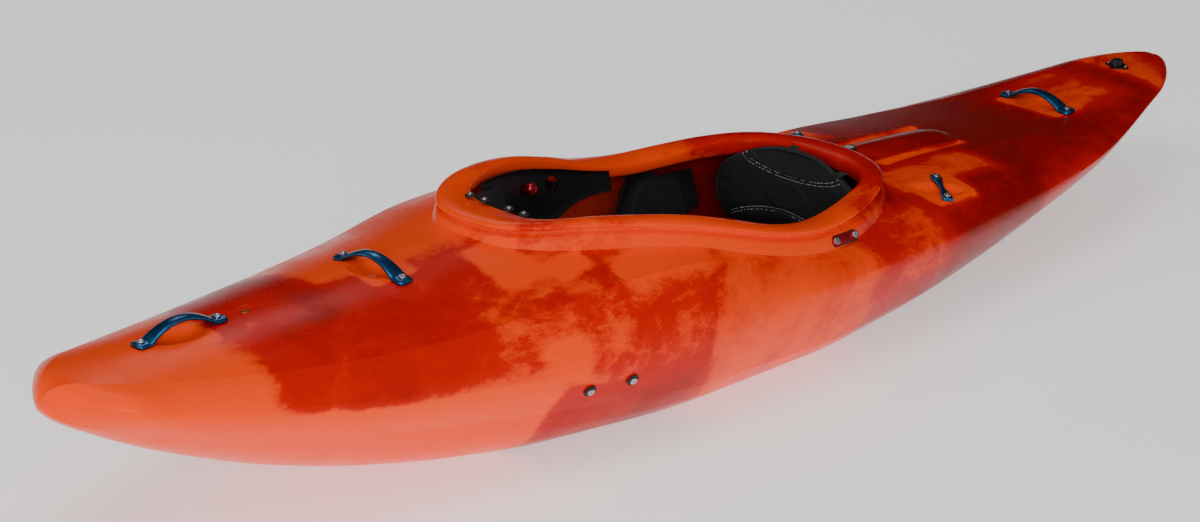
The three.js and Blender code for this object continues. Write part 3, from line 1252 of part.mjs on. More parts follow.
function railPoint(x, b, depth) {
  const t = footBend(x);
  const z = (FOOT_RAIL_Z + (FOOT_BOLT_Z - FOOT_RAIL_Z) * t) + (b * FOOT_RAIL_WIDTH) / 2;
  const side = sideBreadth(x, z) - WALL - 3 * GAP;
  return at(x, FOOT_RAIL_Y + (side - FOOT_RAIL_Y) * t - depth, z);
}

function footrest() {
  const front = FOOT_X - FOOT_TRAVEL - 2 * FOOT_RAIL_WIDTH;
  const rear = FOOT_BOLT_X[1] + FOOT_RAIL_WIDTH;
  const skin = (depth) => (a, b) => railPoint(front + ((a + 1) / 2) * (rear - front), b, depth);
  let rail = gridSolid(14, 1, skin(FOOT_RAIL_THICKNESS), skin(0));
  const bolts = FOOT_BOLT_X.map((x) => {
    const y = sideBreadth(x, FOOT_BOLT_Z);
    const slope = (sideBreadth(x, FOOT_BOLT_Z + WALL) - sideBreadth(x, FOOT_BOLT_Z - WALL)) / (2 * WALL);
    const taper = (sideBreadth(x + WALL, FOOT_BOLT_Z) - sideBreadth(x - WALL, FOOT_BOLT_Z)) / (2 * WALL);
    return { spot: at(x, y, FOOT_BOLT_Z), axis: new THREE.Vector3(-taper, 1, -slope).normalize() };
  });
  for (const { spot, axis } of bolts) {
    rail = rail.subtract(drill(spot, axis, SCREW_SHANK_RADIUS + GAP, 5 * WALL, OVERRUN));
  }
  for (const [name, side] of sides) {
    add(`${name}_foot_rail`, mirrored(rail, side).intersect(plainRoom), 'aluminium');
    bolts.forEach(({ spot, axis }, i) => {
      const seat = toSide(spot.clone().addScaledVector(axis, 2 * GAP), side);
      const out = toSide(axis, side);
      hull = hull.subtract(drill(seat, out, SCREW_SHANK_RADIUS + GAP, 4 * WALL, OVERRUN));
      hull = hull.subtract(drill(seat, out, WASHER_RADIUS + GAP, 2 * GAP, OVERRUN));
      const bolt = screwBody(seat, out, { ...washerHead, length: 3 * WALL });
      add(`${name}_foot_bolt_${i + 1}`, bolt, 'steel');
    });
  }
  const sectionAt = FOOT_X - FOOT_TRAVEL - 2 * FOOT_RAIL_WIDTH;
  const slab = (inset, from, to) => skinRings([
    sectionRing(sectionAt, inset, from),
    sectionRing(sectionAt, inset, to),
  ]);
  const lid = new THREE.BoxGeometry(LENGTH, BEAM, HEIGHT / 4);
  lid.translate(0, 0, (HEIGHT * 7) / 8 + WALL);
  const lidBody = toManifold(lid);
  const notch = (side) => {
    const box = new THREE.BoxGeometry(LENGTH, FOOT_RAIL_THICKNESS + 2 * GAP, FOOT_RAIL_WIDTH + 2 * GAP);
    box.translate(0, side * (FOOT_RAIL_Y - FOOT_RAIL_THICKNESS / 2), FOOT_RAIL_Z);
    return toManifold(box);
  };
  const trim = (body) => body.subtract(lidBody).subtract(notch(1)).subtract(notch(-1));
  const face = FOOT_X + FOOT_PLATE_THICKNESS;
  const plate = trim(slab(WALL + 2 * GAP + OVERRUN, FOOT_X, face));
  const padFront = face + GAP;
  const padMiddle = padFront + FOOT_PAD_THICKNESS * 0.6;
  const padRear = padFront + FOOT_PAD_THICKNESS;
  const inset = 4 * WALL;
  const pad = trim(skinRings([
    sectionRing(sectionAt, inset, padFront),
    sectionRing(sectionAt, inset, padMiddle),
    sectionRing(sectionAt, inset + WALL, padRear),
  ]));
  add('footrest_plate', plate, 'black');
  add('footrest_pad', pad, 'foam');
}
footrest();

// Foam pillars under the decks

function pillars() {
  const room = withForms(plainRoom, WALL + GAP);
  for (const [name, [from, to]] of [['fore_pillar', FORE_PILLAR_X], ['aft_pillar', AFT_PILLAR_X]]) {
    const slab = new THREE.BoxGeometry(to - from, PILLAR_THICKNESS, 2 * HEIGHT);
    slab.translate((from + to) / 2 - HALF_LENGTH, 0, 0);
    add(name, room.intersect(toManifold(slab)), 'foam');
  }
}
pillars();

add('hull_shell', hull, 'hull');

export default group;
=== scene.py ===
import math

import bmesh
import bpy
import numpy as np
from mathutils import Matrix, Vector


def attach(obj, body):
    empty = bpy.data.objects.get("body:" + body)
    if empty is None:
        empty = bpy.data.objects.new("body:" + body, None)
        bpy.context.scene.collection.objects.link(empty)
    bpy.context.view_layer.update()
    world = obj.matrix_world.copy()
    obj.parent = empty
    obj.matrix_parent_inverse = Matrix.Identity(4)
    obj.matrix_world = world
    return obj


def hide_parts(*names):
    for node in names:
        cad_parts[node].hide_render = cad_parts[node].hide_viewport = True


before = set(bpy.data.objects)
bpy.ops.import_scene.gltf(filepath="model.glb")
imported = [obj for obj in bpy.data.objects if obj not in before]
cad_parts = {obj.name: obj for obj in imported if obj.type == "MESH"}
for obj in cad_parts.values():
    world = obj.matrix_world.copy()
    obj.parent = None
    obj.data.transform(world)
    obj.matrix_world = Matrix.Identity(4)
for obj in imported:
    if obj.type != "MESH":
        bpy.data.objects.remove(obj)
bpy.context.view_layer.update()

bl_info = {
    "name": "Whitewater kayak",
    "version": (1, 0, 0),
    "blender": (4, 5, 0),
    "location": "3D View > Sidebar > Kayak",
    "description": "Models and finishes the visible pieces of a moulded whitewater kayak",
    "category": "Object",
}

MM = 0.001

# Sizes in millimetres. Places along the boat are measured from the bow.
LENGTH = 2750
HALF_LENGTH = LENGTH / 2
HALF_BEAM = 333
HEIGHT = 376
WALL = 6
GAP = 0.3
BOW_ROUND = 114
STERN_ROUND = 154

# The hull's stations, as shares of its length, half its beam and its height: place, seam breadth and
# height, shoulder inset and rise, ridge rise, chine inset and drop, keel drop.
STATION_SHARES = [
    (0.000, .200, .774, .130, .160, .145, .054, .120, .138),
    (.022, .335, .769, .145, .105, .115, .120, .117, .168),
    (.065, .462, .702, .126, .122, .174, .120, .130, .255),
    (.145, .637, .606, .105, .162, .274, .123, .165, .404),
    (.273, .841, .516, .108, .242, .383, .132, .213, .495),
    (.345, .943, .500, .128, .298, .420, .135, .255, .498),
    (.415, 1.0, .492, .159, .279, .441, .138, .298, .492),
    (.453, .998, .489, .159, .213, .439, .142, .309, .489),
    (.493, .994, .487, .141, .146, .370, .146, .322, .487),
    (.531, .984, .481, .135, .106, .311, .150, .332, .478),
    (.582, .952, .471, .150, .104, .266, .159, .314, .455),
    (.647, .904, .452, .168, .128, .202, .168, .285, .399),
    (.691, .856, .444, .156, .138, .194, .174, .255, .359),
    (.764, .772, .457, .159, .104, .144, .171, .205, .293),
    (.836, .664, .487, .162, .069, .090, .168, .160, .229),
    (.945, .381, .580, .126, .048, .051, .159, .106, .149),
    (1.0, .240, .633, .102, .040, .035, .153, .082, .117),
]
BOTTOM_PLACE_SHARES = [0, .16, .33, .8, 1]
BOTTOM_POWERS = [2.4, 2.4, 5.3, 5, 3]

RIM_FRONT_X = 848
RIM_LENGTH = 937
RIM_WIDTH = 543
RIM_CREST_WIDTH = 46
LIP_THICKNESS = 14
LIP_OVERHANG = 17
LEDGE_DROP = 10
RIM_SKIRT = 34
RIM_WALL = 7
RIM_SECTIONS = 96
RIM_TONE = -.12
RIM_GROOVE = 21
RIM_SWELL = 31
RIM_OUTLINE_SHARES = [(0, 0), (.014, .27), (.055, .455), (.12, .61), (.206, .744), (.308, .858), (.42, .943),
                    (.538, .995), (.655, .991), (.76, .924), (.854, .8), (.926, .626), (.976, .39), (1, 0)]
MOUTH_OUTLINE_SHARES = [(.1, 0), (.102, .2), (.122, .39), (.2, .56), (.304, .7), (.39, .765), (.49, .795),
                      (.6, .78), (.7, .74), (.8, .665), (.87, .58), (.915, .42), (.935, .22), (.94, 0)]
CREST_PLACE_SHARES = [0, .12, .206, .308, .42, .538, .655, .76, .854, .926, 1]
CREST_HEIGHT_SHARES = [.995, .998, .974, .929, .854, .769, .722, .722, .734, .742, .74]
MOUTH_EDGE_SHARES = [(0, -.64), (.21, -.29), (.71, -.07)]
LIP_EDGE_SHARES = [(-2.43, 0), (-1.07, 0), (-.36, -.21), (0, -.5), (-.14, -.8)]

BOW_HANDLE_X = 264
FORE_HANDLE_X = 654
STERN_HANDLE_X = 2372
HANDLE_SPACING = 147
HANDLE_LENGTH = 172
HANDLE_ARCH = 22
HANDLE_THICKNESS = 8
HANDLE_WAIST = 21
HANDLE_PAD_WIDTH = 30
# Each handle's name, place and direction along the boat and across it.
HANDLES = (("bow_handle", BOW_HANDLE_X, (1, 0)), ("fore_handle", FORE_HANDLE_X, (0, 1)),
           ("stern_handle", STERN_HANDLE_X, (0, 1)))
BAR_X = 1838
BAR_Y = 204
BAR_SPACING = 78
BAR_LENGTH = 98
BAR_PAD_WIDTH = 21
BAR_WAIST = 10
BAR_THICKNESS = 7
BAR_ANGLE = math.radians(55)
DRAIN_X = 2627
DRAIN_FLANGE_RADIUS = 17
DRAIN_FLANGE_THICKNESS = 4.5
DRAIN_FLANGE_SINK = 1.5
DRAIN_EAR_RADIUS = 6.5
DRAIN_SCREW_Y = 21
DRAIN_SCREW_LIFT = 3.2
BUNG_LIFT = 3.3
CAP_X = 1812
INSERT_X = 392
SPINE_X = 1942.5
SPINE_HALF_LENGTH = 142.5
SPINE_HALF_WIDTH = 52
SPINE_RISE = 15
SPINE_BLEND = 5
# Each groove's ends, as place along the boat and breadth.
GROOVE_FRONT = (1830, 66.0)
GROOVE_REAR = (2070, 54.0)
GROOVE_RADIUS = 11
GROOVE_LIFT = 5
GROOVE_BLEND = 1.5
HOLLOW_LIFT = 5
HOLLOW_BLEND = 5
HIP_PLATE_X = 1500
HIP_PLATE_HALF_LENGTH = 25.5
HIP_PLATE_RADIUS = 7.5
HIP_PLATE_THICKNESS = 3
HIP_PLATE_LIFT = 2.6
HIP_PLATE_DROP = 6
HIP_PLATE_OUT = 3
HIP_GASKET_RADIUS = 10
HIP_GASKET_THICKNESS = 2
# The hip plates' outward direction: across the boat and up.
HIP_PLATE_WAY = (10, 6.9)
HIP_BOLT_REACH = 24
HIP_BOLT_LIFT = 5.6
FOOT_BOLTS_X = (868, 950)
FOOT_BOLT_Z = 140
# The shallow strip round the side bolts: depth, reach from their line, softness of its edge.
STRIP_DEPTH = 1.2
STRIP_REACH = 14
STRIP_EDGE = 4
RIM_BOLT_X = 1250
RIM_BOLT_OUT = 5.8
RIM_BOLT_LIFT = .2
# The slot that each rim bolt lies in: half length, radius, depth, and how far its middle is behind the bolt.
SLOT_HALF_LENGTH = 9
SLOT_RADIUS = 4.4
SLOT_DEPTH = 1.6
SLOT_BEHIND = 7
BRACE_BOLT_X = 927
BRACE_BOLTS_Y = (30, 66)
BRACE_BOLT_LIFT = 5.2
BRACE_FRONT_X = 1016
BRACE_REAR_X = 1385
BRACE_DEPTH = 88
BRACE_SLOPE = 26
BRACE_THICKNESS = 5
BRACE_CLEARANCE = 10
BRACE_DROP = 13
BRACE_FLANGE = 3.2
TONGUE_FRONT_X = 904
TONGUE_INNER_Y = 12
TONGUE_STRAIGHT = 47
TONGUE_OVERLAP = 34
# The long, shallow well in the brace's face under the knob.
WELL_HALF_LENGTH = 12.3
WELL_RADIUS = 13.4
WELL_DEPTH = 1.6
KNOB_X, KNOB_DROP = 1160.0, 35.0
HOLE_X, HOLE_DROP = 1232.0, 28.6
PAN_FRONT_X = 1280
SEAT_FRONT_X = 1395
SEAT_REAR_X = 1610
SEAT_FLOOR = 17
SEAT_PLY = 4
SEAT_PAD_THICKNESS = 26
HIP_PAD_THICKNESS = 34
BACK_TOP_X = 1681
BACK_TOP_Z = 286
BACK_HEIGHT = 172
BACK_WIDTH = 366
BACK_RAKE = math.radians(8)
BACK_WRAP = 12
BACK_PAD_THICKNESS = 24
STRAP_HALF_WIDTH = 9.5
EAR_Y = 95
EAR_RADIUS = 10

# Screw heads as radius and height, washers as radius and thickness.
SCREW = (6.5, 3.2)
SMALL_SCREW = (3.6, 1.8)
LEDGE_BOLT = (4.9, 3.2)
LEDGE_WASHER = (8.8, 2.5)
FOOT_WASHER = (11, 2.5)
SINK = .3
# How thick the plates are that cut a hole or a recess.
TOOL_DEPTH = 24
SIDES = (("port", -1), ("starboard", 1))
PLATE_BEVEL_STEPS = 3

# Shapes that the moulded pieces follow


def spot(x, y, z):
    """A place in millimetres from the bow, as metres in the frame."""
    return Vector(((x - HALF_LENGTH) * MM, y * MM, z * MM))


def curve(places, values):
    """A smooth line through values at places, as the solids' own lines are drawn."""
    p, v = np.array(places, float), np.array(values, float)
    spans = np.diff(p)
    steps = np.diff(v) / spans
    low = np.maximum(np.arange(len(p)) - 1, 0)
    high = np.minimum(np.arange(len(p)), len(p) - 2)
    slopes = (steps[low] * spans[high] + steps[high] * spans[low]) / (spans[low] + spans[high])

    def line(x):
        x = np.asarray(x, float)
        i = np.clip(np.searchsorted(p, x, side="right") - 1, 0, len(p) - 2)
        width = spans[i]
        t = np.clip((x - p[i]) / width, 0, 1)
        value = v[i] * (1 + 2 * t) * (1 - t) ** 2 + v[i + 1] * t * t * (3 - 2 * t)
        return value + width * (slopes[i] * t * (1 - t) ** 2 - slopes[i + 1] * t * t * (1 - t))

    return line


def station(column, size):
    """One measure of the hull along its whole length."""
    return curve([row[0] * LENGTH for row in STATION_SHARES], [row[column] * size for row in STATION_SHARES])


station_lines = [station(column, HALF_BEAM if column in (1, 3, 6) else HEIGHT) for column in range(1, 9)]
bottom_power = curve([share * LENGTH for share in BOTTOM_PLACE_SHARES], BOTTOM_POWERS)


def hull_lines(x):
    """Breadths and heights of the lines that the hull is moulded on, at places along the boat."""
    x = np.asarray(x, float)
    bow = np.minimum(x / BOW_ROUND, 1)
    stern = np.minimum((LENGTH - x) / STERN_ROUND, 1)
    end = np.sqrt(np.maximum(1 - (1 - bow) ** 2, 0) * np.maximum(1 - (1 - stern) ** 2, 0))
    breadth, seam_z, inset, rise, ridge, chine_in, chine_drop, keel_drop = [line(x) for line in station_lines]
    seam_y = breadth * end
    return {
        "seam_y": seam_y, "seam_z": seam_z,
        "shoulder_y": np.maximum(seam_y - inset * end, seam_y / 4), "shoulder_z": seam_z + rise * end,
        "ridge_z": seam_z + ridge * end,
        "chine_y": np.maximum(seam_y - chine_in * end, seam_y / 4), "chine_z": seam_z - chine_drop * end,
        "keel_z": seam_z - keel_drop * end,
    }


def deck_height(x, y):
    """Height of the plain deck, before its spine, grooves and hollows."""
    line = hull_lines(x)
    share = np.asarray(y, float) / np.maximum(line["shoulder_y"], 1e-6)
    return line["ridge_z"] + (line["shoulder_z"] - line["ridge_z"]) * share ** 2


def deck_normal(x, y):
    """Direction straight up from the deck."""
    along = (deck_height(x + WALL, y) - deck_height(x - WALL, y)) / (2 * WALL)
    across = (deck_height(x, y + WALL) - deck_height(x, y - WALL)) / (2 * WALL)
    return Vector((-float(along), -float(across), 1)).normalized()


def on_deck(x, y, lift=0.0):
    """A place on the smooth deck, or a lift in millimetres above it."""
    return spot(x, y, float(deck_height(x, y)) + lift)


def soft_least(a, b, blend):
    """The lower of two heights, with a round change from one to the other."""
    near = np.maximum(blend - np.abs(a - b), 0) / blend
    return np.minimum(a, b) - near * near * blend / 4


def soft_most(a, b, blend):
    """The higher of two heights, with a round change from one to the other."""
    return -soft_least(-a, -b, blend)


# Each hand hollow's place, half sizes, depth and turn.
HOLLOWS = [
    (BOW_HANDLE_X, 0, 56, 33, 20, 0), (FORE_HANDLE_X, 0, 39, 56, 20, 0), (STERN_HANDLE_X, 0, 33, 56, 20, 0),
    (BAR_X, -BAR_Y, 62, 23, 15, -math.radians(35)), (BAR_X, BAR_Y, 62, 23, 15, math.radians(35)),
]


def deck_forms(x, y, z):
    """The rear spine, the hand hollows and the two grooves, worked into the deck's height."""
    t = (x - SPINE_X) / SPINE_HALF_LENGTH
    swell = np.sqrt(np.maximum(1 - t ** 6, 0))
    across = y / np.maximum(SPINE_HALF_WIDTH * swell, 1e-6)
    hump = np.maximum(1 - across ** 2, 0) ** 1.5
    spine = deck_height(x, 0) + ((SPINE_RISE + WALL) * swell * hump - WALL) * (1 - .35 * (t + 1) / 2)
    on_spine = (np.abs(t) < 1) & (np.abs(across) < 1)
    z = np.where(on_spine, soft_most(z, spine, SPINE_BLEND), z)
    for side in (-1, 1):
        front = np.array((GROOVE_FRONT[0] + GROOVE_RADIUS, side * GROOVE_FRONT[1]))
        rear = np.array((GROOVE_REAR[0] - GROOVE_RADIUS, side * GROOVE_REAR[1]))
        way = rear - front
        share = np.clip(((x - front[0]) * way[0] + (y - front[1]) * way[1]) / way.dot(way), 0, 1)
        off = np.hypot(x - front[0] - share * way[0], y - front[1] - share * way[1])
        axis = deck_height(front[0] + share * way[0], front[1] + share * way[1]) + GROOVE_LIFT
        floor = axis - np.sqrt(np.maximum(GROOVE_RADIUS ** 2 - off * off, 0))
        z = np.where(off < GROOVE_RADIUS, soft_least(z, floor, GROOVE_BLEND), z)
    for place_x, place_y, half_x, half_y, depth, turn in HOLLOWS:
        dx, dy = x - place_x, y - place_y
        along = (dx * math.cos(turn) + dy * math.sin(turn)) / half_x
        aside = (dy * math.cos(turn) - dx * math.sin(turn)) / half_y
        reach = along ** 2 + aside ** 2
        bowl = deck_height(place_x, place_y) + HOLLOW_LIFT - (depth + HOLLOW_LIFT) * np.maximum(1 - reach, 0)
        z = np.where(reach < 1, soft_least(z, bowl, HOLLOW_BLEND), z)
    return z


def bulge(start, corner, end, t):
    """A bend from start to end that is drawn toward a corner."""
    return start * (1 - t) ** 2 + 2 * corner * t * (1 - t) + end * t * t


def half_section(x, deck, side, bilge, floor):
    """Half cross-sections at places x, from the deck's middle round the starboard side to the keel."""
    line = {name: value[:, None] for name, value in hull_lines(x).items()}
    seam_y, seam_z = line["seam_y"], line["seam_z"]
    upper = (seam_y - .1 * (seam_y - line["shoulder_y"]), seam_z + .6 * (line["shoulder_z"] - seam_z))
    lower = (seam_y - .15 * (seam_y - line["chine_y"]), seam_z - .45 * (seam_z - line["chine_z"]))
    deck_y = line["shoulder_y"] * deck
    deck_z = line["ridge_z"] + (line["shoulder_z"] - line["ridge_z"]) * deck * deck
    deck_z = deck_forms(np.broadcast_to(np.asarray(x, float)[:, None], deck_y.shape), deck_y, deck_z)
    power = bottom_power(x)[:, None]
    parts = [
        (deck_y, deck_z),
        (bulge(line["shoulder_y"], upper[0], seam_y, side),
         bulge(line["shoulder_z"], upper[1], seam_z, side)),
        (bulge(seam_y, lower[0], line["chine_y"], bilge), bulge(seam_z, lower[1], line["chine_z"], bilge)),
        (line["chine_y"] * floor, line["keel_z"] + (line["chine_z"] - line["keel_z"]) * floor ** power),
    ]
    return np.hstack([part[0] for part in parts]), np.hstack([part[1] for part in parts])


def side_breadth(x, height):
    """The hull side's breadth at a height."""
    ts = np.linspace(0, 1, 60)
    y, z = half_section(np.array([float(x)]), np.array([1.0]), ts, ts, np.array([1.0]))
    return float(np.interp(-height, -z[0], y[0]))


def outline_table(shares):
    """Places and breadths from shares of the rim's length and width."""
    return [RIM_FRONT_X + a * RIM_LENGTH for a, _ in shares], [b * RIM_WIDTH / 2 for _, b in shares]


rim_breadth = curve(*outline_table(RIM_OUTLINE_SHARES))
mouth_breadth = curve(*outline_table(MOUTH_OUTLINE_SHARES))
crest_height = curve([RIM_FRONT_X + share * RIM_LENGTH for share in CREST_PLACE_SHARES],
                    [share * HEIGHT for share in CREST_HEIGHT_SHARES])


def outline(shares, count):
    """Evenly spaced points on the closed, smooth outline through the shares of one half."""
    xs, ys = outline_table(shares)
    half = list(zip(xs, ys))
    points = np.array(half + [(x, -y) for x, y in half[-2:0:-1]])
    line = []
    for i in range(len(points)):
        p0, p1, p2, p3 = [points[(i + ahead) % len(points)] for ahead in (-1, 0, 1, 2)]
        d0, d1, d2 = [max(((b - a) ** 2).sum() ** .25, 1e-4) for a, b in ((p0, p1), (p1, p2), (p2, p3))]
        m1 = ((p1 - p0) / d0 - (p2 - p0) / (d0 + d1) + (p2 - p1) / d1) * d1
        m2 = ((p2 - p1) / d1 - (p3 - p1) / (d1 + d2) + (p3 - p2) / d2) * d1
        for t in np.linspace(0, 1, 24, endpoint=False):
            line.append((2 * t ** 3 - 3 * t * t + 1) * p1 + (t ** 3 - 2 * t * t + t) * m1
                        + (3 * t * t - 2 * t ** 3) * p2 + (t ** 3 - t * t) * m2)
    line = np.array(line + [line[0]])
    run = np.concatenate([[0], np.cumsum(np.hypot(*np.diff(line, axis=0).T))])
    spots = np.linspace(0, run[-1], count, endpoint=False)
    return np.column_stack([np.interp(spots, run, line[:, 0]), np.interp(spots, run, line[:, 1])])


def rim_rings(count):
    """Sections of the cockpit rim: skirt, crest, lip, the groove under it, the swelling and its foot."""
    outer, inner = outline(RIM_OUTLINE_SHARES, count), outline(MOUTH_OUTLINE_SHARES, count)
    width = np.hypot(*(outer - inner).T)
    outward = (outer - inner) / width[:, None]
    crest = crest_height(outer[:, 0])
    drop = np.minimum(LEDGE_DROP, (width - RIM_CREST_WIDTH) / 4)
    skirt = RIM_SKIRT - 1.4 * drop
    base = outer + outward * RIM_WALL
    deck = np.minimum(deck_height(base[:, 0], base[:, 1]) - crest, -RIM_SWELL - WALL)
    foot = deck - WALL / 2
    bend = LIP_THICKNESS / 5
    throat = -LIP_OVERHANG - WALL
    mouth = [(0, -skirt)]
    mouth += [(out * LIP_THICKNESS, up * LIP_THICKNESS - drop) for out, up in MOUTH_EDGE_SHARES]
    lip = [(out * LIP_THICKNESS, up * LIP_THICKNESS) for out, up in LIP_EDGE_SHARES]
    lip += [(-LIP_OVERHANG + bend, -LIP_THICKNESS + bend / 2), (-LIP_OVERHANG, -RIM_GROOVE + bend),
            (-LIP_OVERHANG + 3 * bend, -RIM_GROOVE - bend / 2), (-bend, -RIM_GROOVE - bend),
            (bend / 2, -RIM_SWELL + bend), (RIM_WALL, deck),
            (RIM_WALL, foot), (-RIM_WALL, foot), (-RIM_WALL - bend, -RIM_SWELL - bend),
            (throat, -RIM_GROOVE - bend), (throat, -LIP_THICKNESS - bend)]
    back = [(RIM_WALL, -LIP_THICKNESS - drop), (RIM_WALL, -skirt)]
    rings = []
    for start, offsets in ((inner, mouth), (outer, lip), (inner, back)):
        for out, up in offsets:
            rings.append(np.column_stack([start + outward * out, crest + up]))
    return np.stack(rings, axis=1)


def seat_point(x, girth, depth):
    """Seat pan surface: place along the boat, share of its girth, and depth off its outside."""
    x, girth = np.broadcast_arrays(np.asarray(x, float), np.asarray(girth, float))
    width = seat_reach(x) * (np.minimum(rim_breadth(x), rim_breadth(HIP_PLATE_X)) - 2.6 * RIM_WALL)
    high = WING_HEIGHT * seat_top(x)
    share = np.abs(girth)

    def section(s):
        return width * seat_out(s), high * seat_up(s)

    y0, z0 = section(np.maximum(share - .02, 0))
    y1, z1 = section(np.minimum(share + .02, 1))
    run = np.hypot(y1 - y0, z1 - z0)
    y, z = section(share)
    inward = np.where(share == 0, 0, -(z1 - z0) / run * depth)
    return np.stack([x, np.sign(girth) * (y + inward), SEAT_FLOOR + z + (y1 - y0) / run * depth], axis=-1)


seat_places = [PAN_FRONT_X + share * (SEAT_REAR_X - PAN_FRONT_X) for share in (0, .27, .44, .59, .74, .88, 1)]
seat_top = curve(seat_places, (.06, .2, .64, .97, .97, .7, .4))
seat_reach = curve(seat_places, (.48, .6, .92, 1, 1, 1, 1))
seat_out = curve((0, .35, .52, .68, .86, 1), (0, .5, .72, .84, .95, 1))
seat_up = curve((0, .35, .52, .68, .86, 1), (0, 0, .09, .42, .8, 1))
HIP_CREST = float(crest_height(HIP_PLATE_X))
WING_HEIGHT = HIP_CREST - RIM_SWELL - WALL - SEAT_FLOOR

brace_depth = curve([BRACE_FRONT_X + share * (BRACE_REAR_X - BRACE_FRONT_X)
                    for share in (0, .12, .3, .55, .72, .88, 1)],
                   [share * BRACE_DEPTH for share in (.3, .52, .93, 1, .7, .48, .41)])
BRACE_LEAN = math.atan2(BRACE_SLOPE, BRACE_DEPTH)


def brace_point(x, down, inboard):
    """Starboard thigh brace: place along the boat, depth down its face, and depth inboard."""
    y = mouth_breadth(x) - BRACE_CLEARANCE - BRACE_SLOPE * (np.maximum(down, 0) / BRACE_DEPTH) ** 1.3
    z = crest_height(x) - BRACE_DROP - down
    y = y - inboard * math.cos(BRACE_LEAN)
    z = z + inboard * math.sin(BRACE_LEAN)
    return np.stack(np.broadcast_arrays(x, y, z), axis=-1)


BACK_FOOT_X = BACK_TOP_X - BACK_HEIGHT * math.tan(BACK_RAKE)
BACK_FOOT_Z = BACK_TOP_Z - BACK_HEIGHT
HINGE_Z = BACK_FOOT_Z - EAR_RADIUS


def back_point(a, b, depth):
    """Backrest surface: shares across and up, and depth in front of the shell."""
    y = BACK_WIDTH / 2 * a * (1 - np.where(b > 0, .42, .2) * b * b)
    up = BACK_HEIGHT / 2 * (1 + b * (1 - .2 * a * a))
    x = BACK_FOOT_X + up * math.tan(BACK_RAKE) - BACK_WRAP * np.abs(a) ** 2.2 - depth
    return np.stack(np.broadcast_arrays(x, y, BACK_FOOT_Z + up), axis=-1)


# Modelling


def deselect():
    """Leaves edit mode and selects nothing."""
    if bpy.context.object and bpy.context.object.mode != "OBJECT":
        bpy.ops.object.mode_set(mode="OBJECT")
    bpy.ops.object.select_all(action="DESELECT")


def only(*objs):
    """Selects these pieces alone and makes the first one active."""
    deselect()
    for obj in objs:
        obj.select_set(True)
    bpy.context.view_layer.objects.active = objs[0]


def named(name):
    """Names the piece that was just made."""
    obj = bpy.context.active_object
    obj.name = obj.data.name = name
    return obj


def points_of(obj):
    """A mesh's points in metres, one row each."""
    co = np.empty(len(obj.data.vertices) * 3, np.float32)
    obj.data.vertices.foreach_get("co", co)
    return co.reshape(-1, 3).astype(float)


def set_points(obj, points):
    obj.data.vertices.foreach_set("co", np.ascontiguousarray(points, np.float32).ravel())
    obj.data.update()


def in_frame(points):
    """Points in millimetres from the bow, as metres in the frame."""
    moved = np.array(points, float)
    moved[..., 0] -= HALF_LENGTH
    return moved * MM


def modify(obj, kind, **settings):
    """Adds a modifier and applies it."""
    only(obj)
    modifier = obj.modifiers.new(kind.title(), kind)
    for key, value in settings.items():
        setattr(modifier, key, value)
    bpy.ops.object.modifier_apply(modifier=modifier.name)
    return obj


def rounded(obj, width, segments, angle=40):
    """Rounds every edge sharper than an angle."""
    return modify(obj, "BEVEL", width=width * MM, segments=segments, limit_method="ANGLE",
                  angle_limit=math.radians(angle), use_clamp_overlap=True)


def subdivided(obj, levels=1):
    """Divides and evens the surface."""
    return modify(obj, "SUBSURF", levels=levels, render_levels=levels)


def cut(obj, tool, operation="DIFFERENCE"):
    """Cuts a tool out of a piece, or joins it on, and removes the tool."""
    modify(obj, "BOOLEAN", object=tool, operation=operation, solver="EXACT")
    bpy.data.objects.remove(tool)
    return obj


def smooth(obj, angle=35):
    """Shades smooth all but the edges sharper than an angle."""
    only(obj)
    bpy.ops.object.shade_smooth_by_angle(angle=math.radians(angle))
    return obj


def faced_out(obj):
    """Turns the faces of a closed piece outward."""
    only(obj)
    bpy.ops.object.mode_set(mode="EDIT")
    bpy.ops.mesh.select_all(action="SELECT")
    bpy.ops.mesh.normals_make_consistent(inside=False)
    bpy.ops.object.mode_set(mode="OBJECT")
    return obj


def close(obj, distance):
    """Merges points closer than a distance in millimetres and turns the faces outward."""
    only(obj)
    bpy.ops.object.mode_set(mode="EDIT")
    bpy.ops.mesh.select_all(action="SELECT")
    bpy.ops.mesh.remove_doubles(threshold=distance * MM)
    bpy.ops.object.mode_set(mode="OBJECT")
    return faced_out(obj)


def grid(name, rows, columns, shape):
    """A grid whose points stand where shape(row, column) puts them."""
    deselect()
    bpy.ops.mesh.primitive_grid_add(x_subdivisions=rows, y_subdivisions=columns, size=2)
    obj = named(name)
    unit = points_of(obj)
    row = np.rint((unit[:, 0] + 1) / 2 * rows).astype(int)
    column = np.rint((unit[:, 1] + 1) / 2 * columns).astype(int)
    set_points(obj, in_frame(shape(row, column)))
    return obj


def block(name, cuts, shape):
    """A cube cut across each way, whose points stand where shape(a, b, c) puts them."""
    deselect()
    bpy.ops.mesh.primitive_cube_add(size=2)
    obj = named(name)
    for axis, count in enumerate(cuts):
        if not count:
            continue
        only(obj)
        bpy.ops.object.mode_set(mode="EDIT")
        bpy.ops.mesh.select_mode(type="EDGE")
        bpy.ops.mesh.select_all(action="DESELECT")
        mesh = bmesh.from_edit_mesh(obj.data)
        for edge in mesh.edges:
            way = edge.verts[0].co - edge.verts[1].co
            edge.select_set(abs(way[axis]) > 1e-4)
        bmesh.update_edit_mesh(obj.data)
        bpy.ops.mesh.subdivide(number_cuts=count)
        bpy.ops.object.mode_set(mode="OBJECT")
    if shape:
        unit = points_of(obj)
        set_points(obj, in_frame(shape(unit[:, 0], unit[:, 1], unit[:, 2])))
        close(obj, .0001)
    return obj


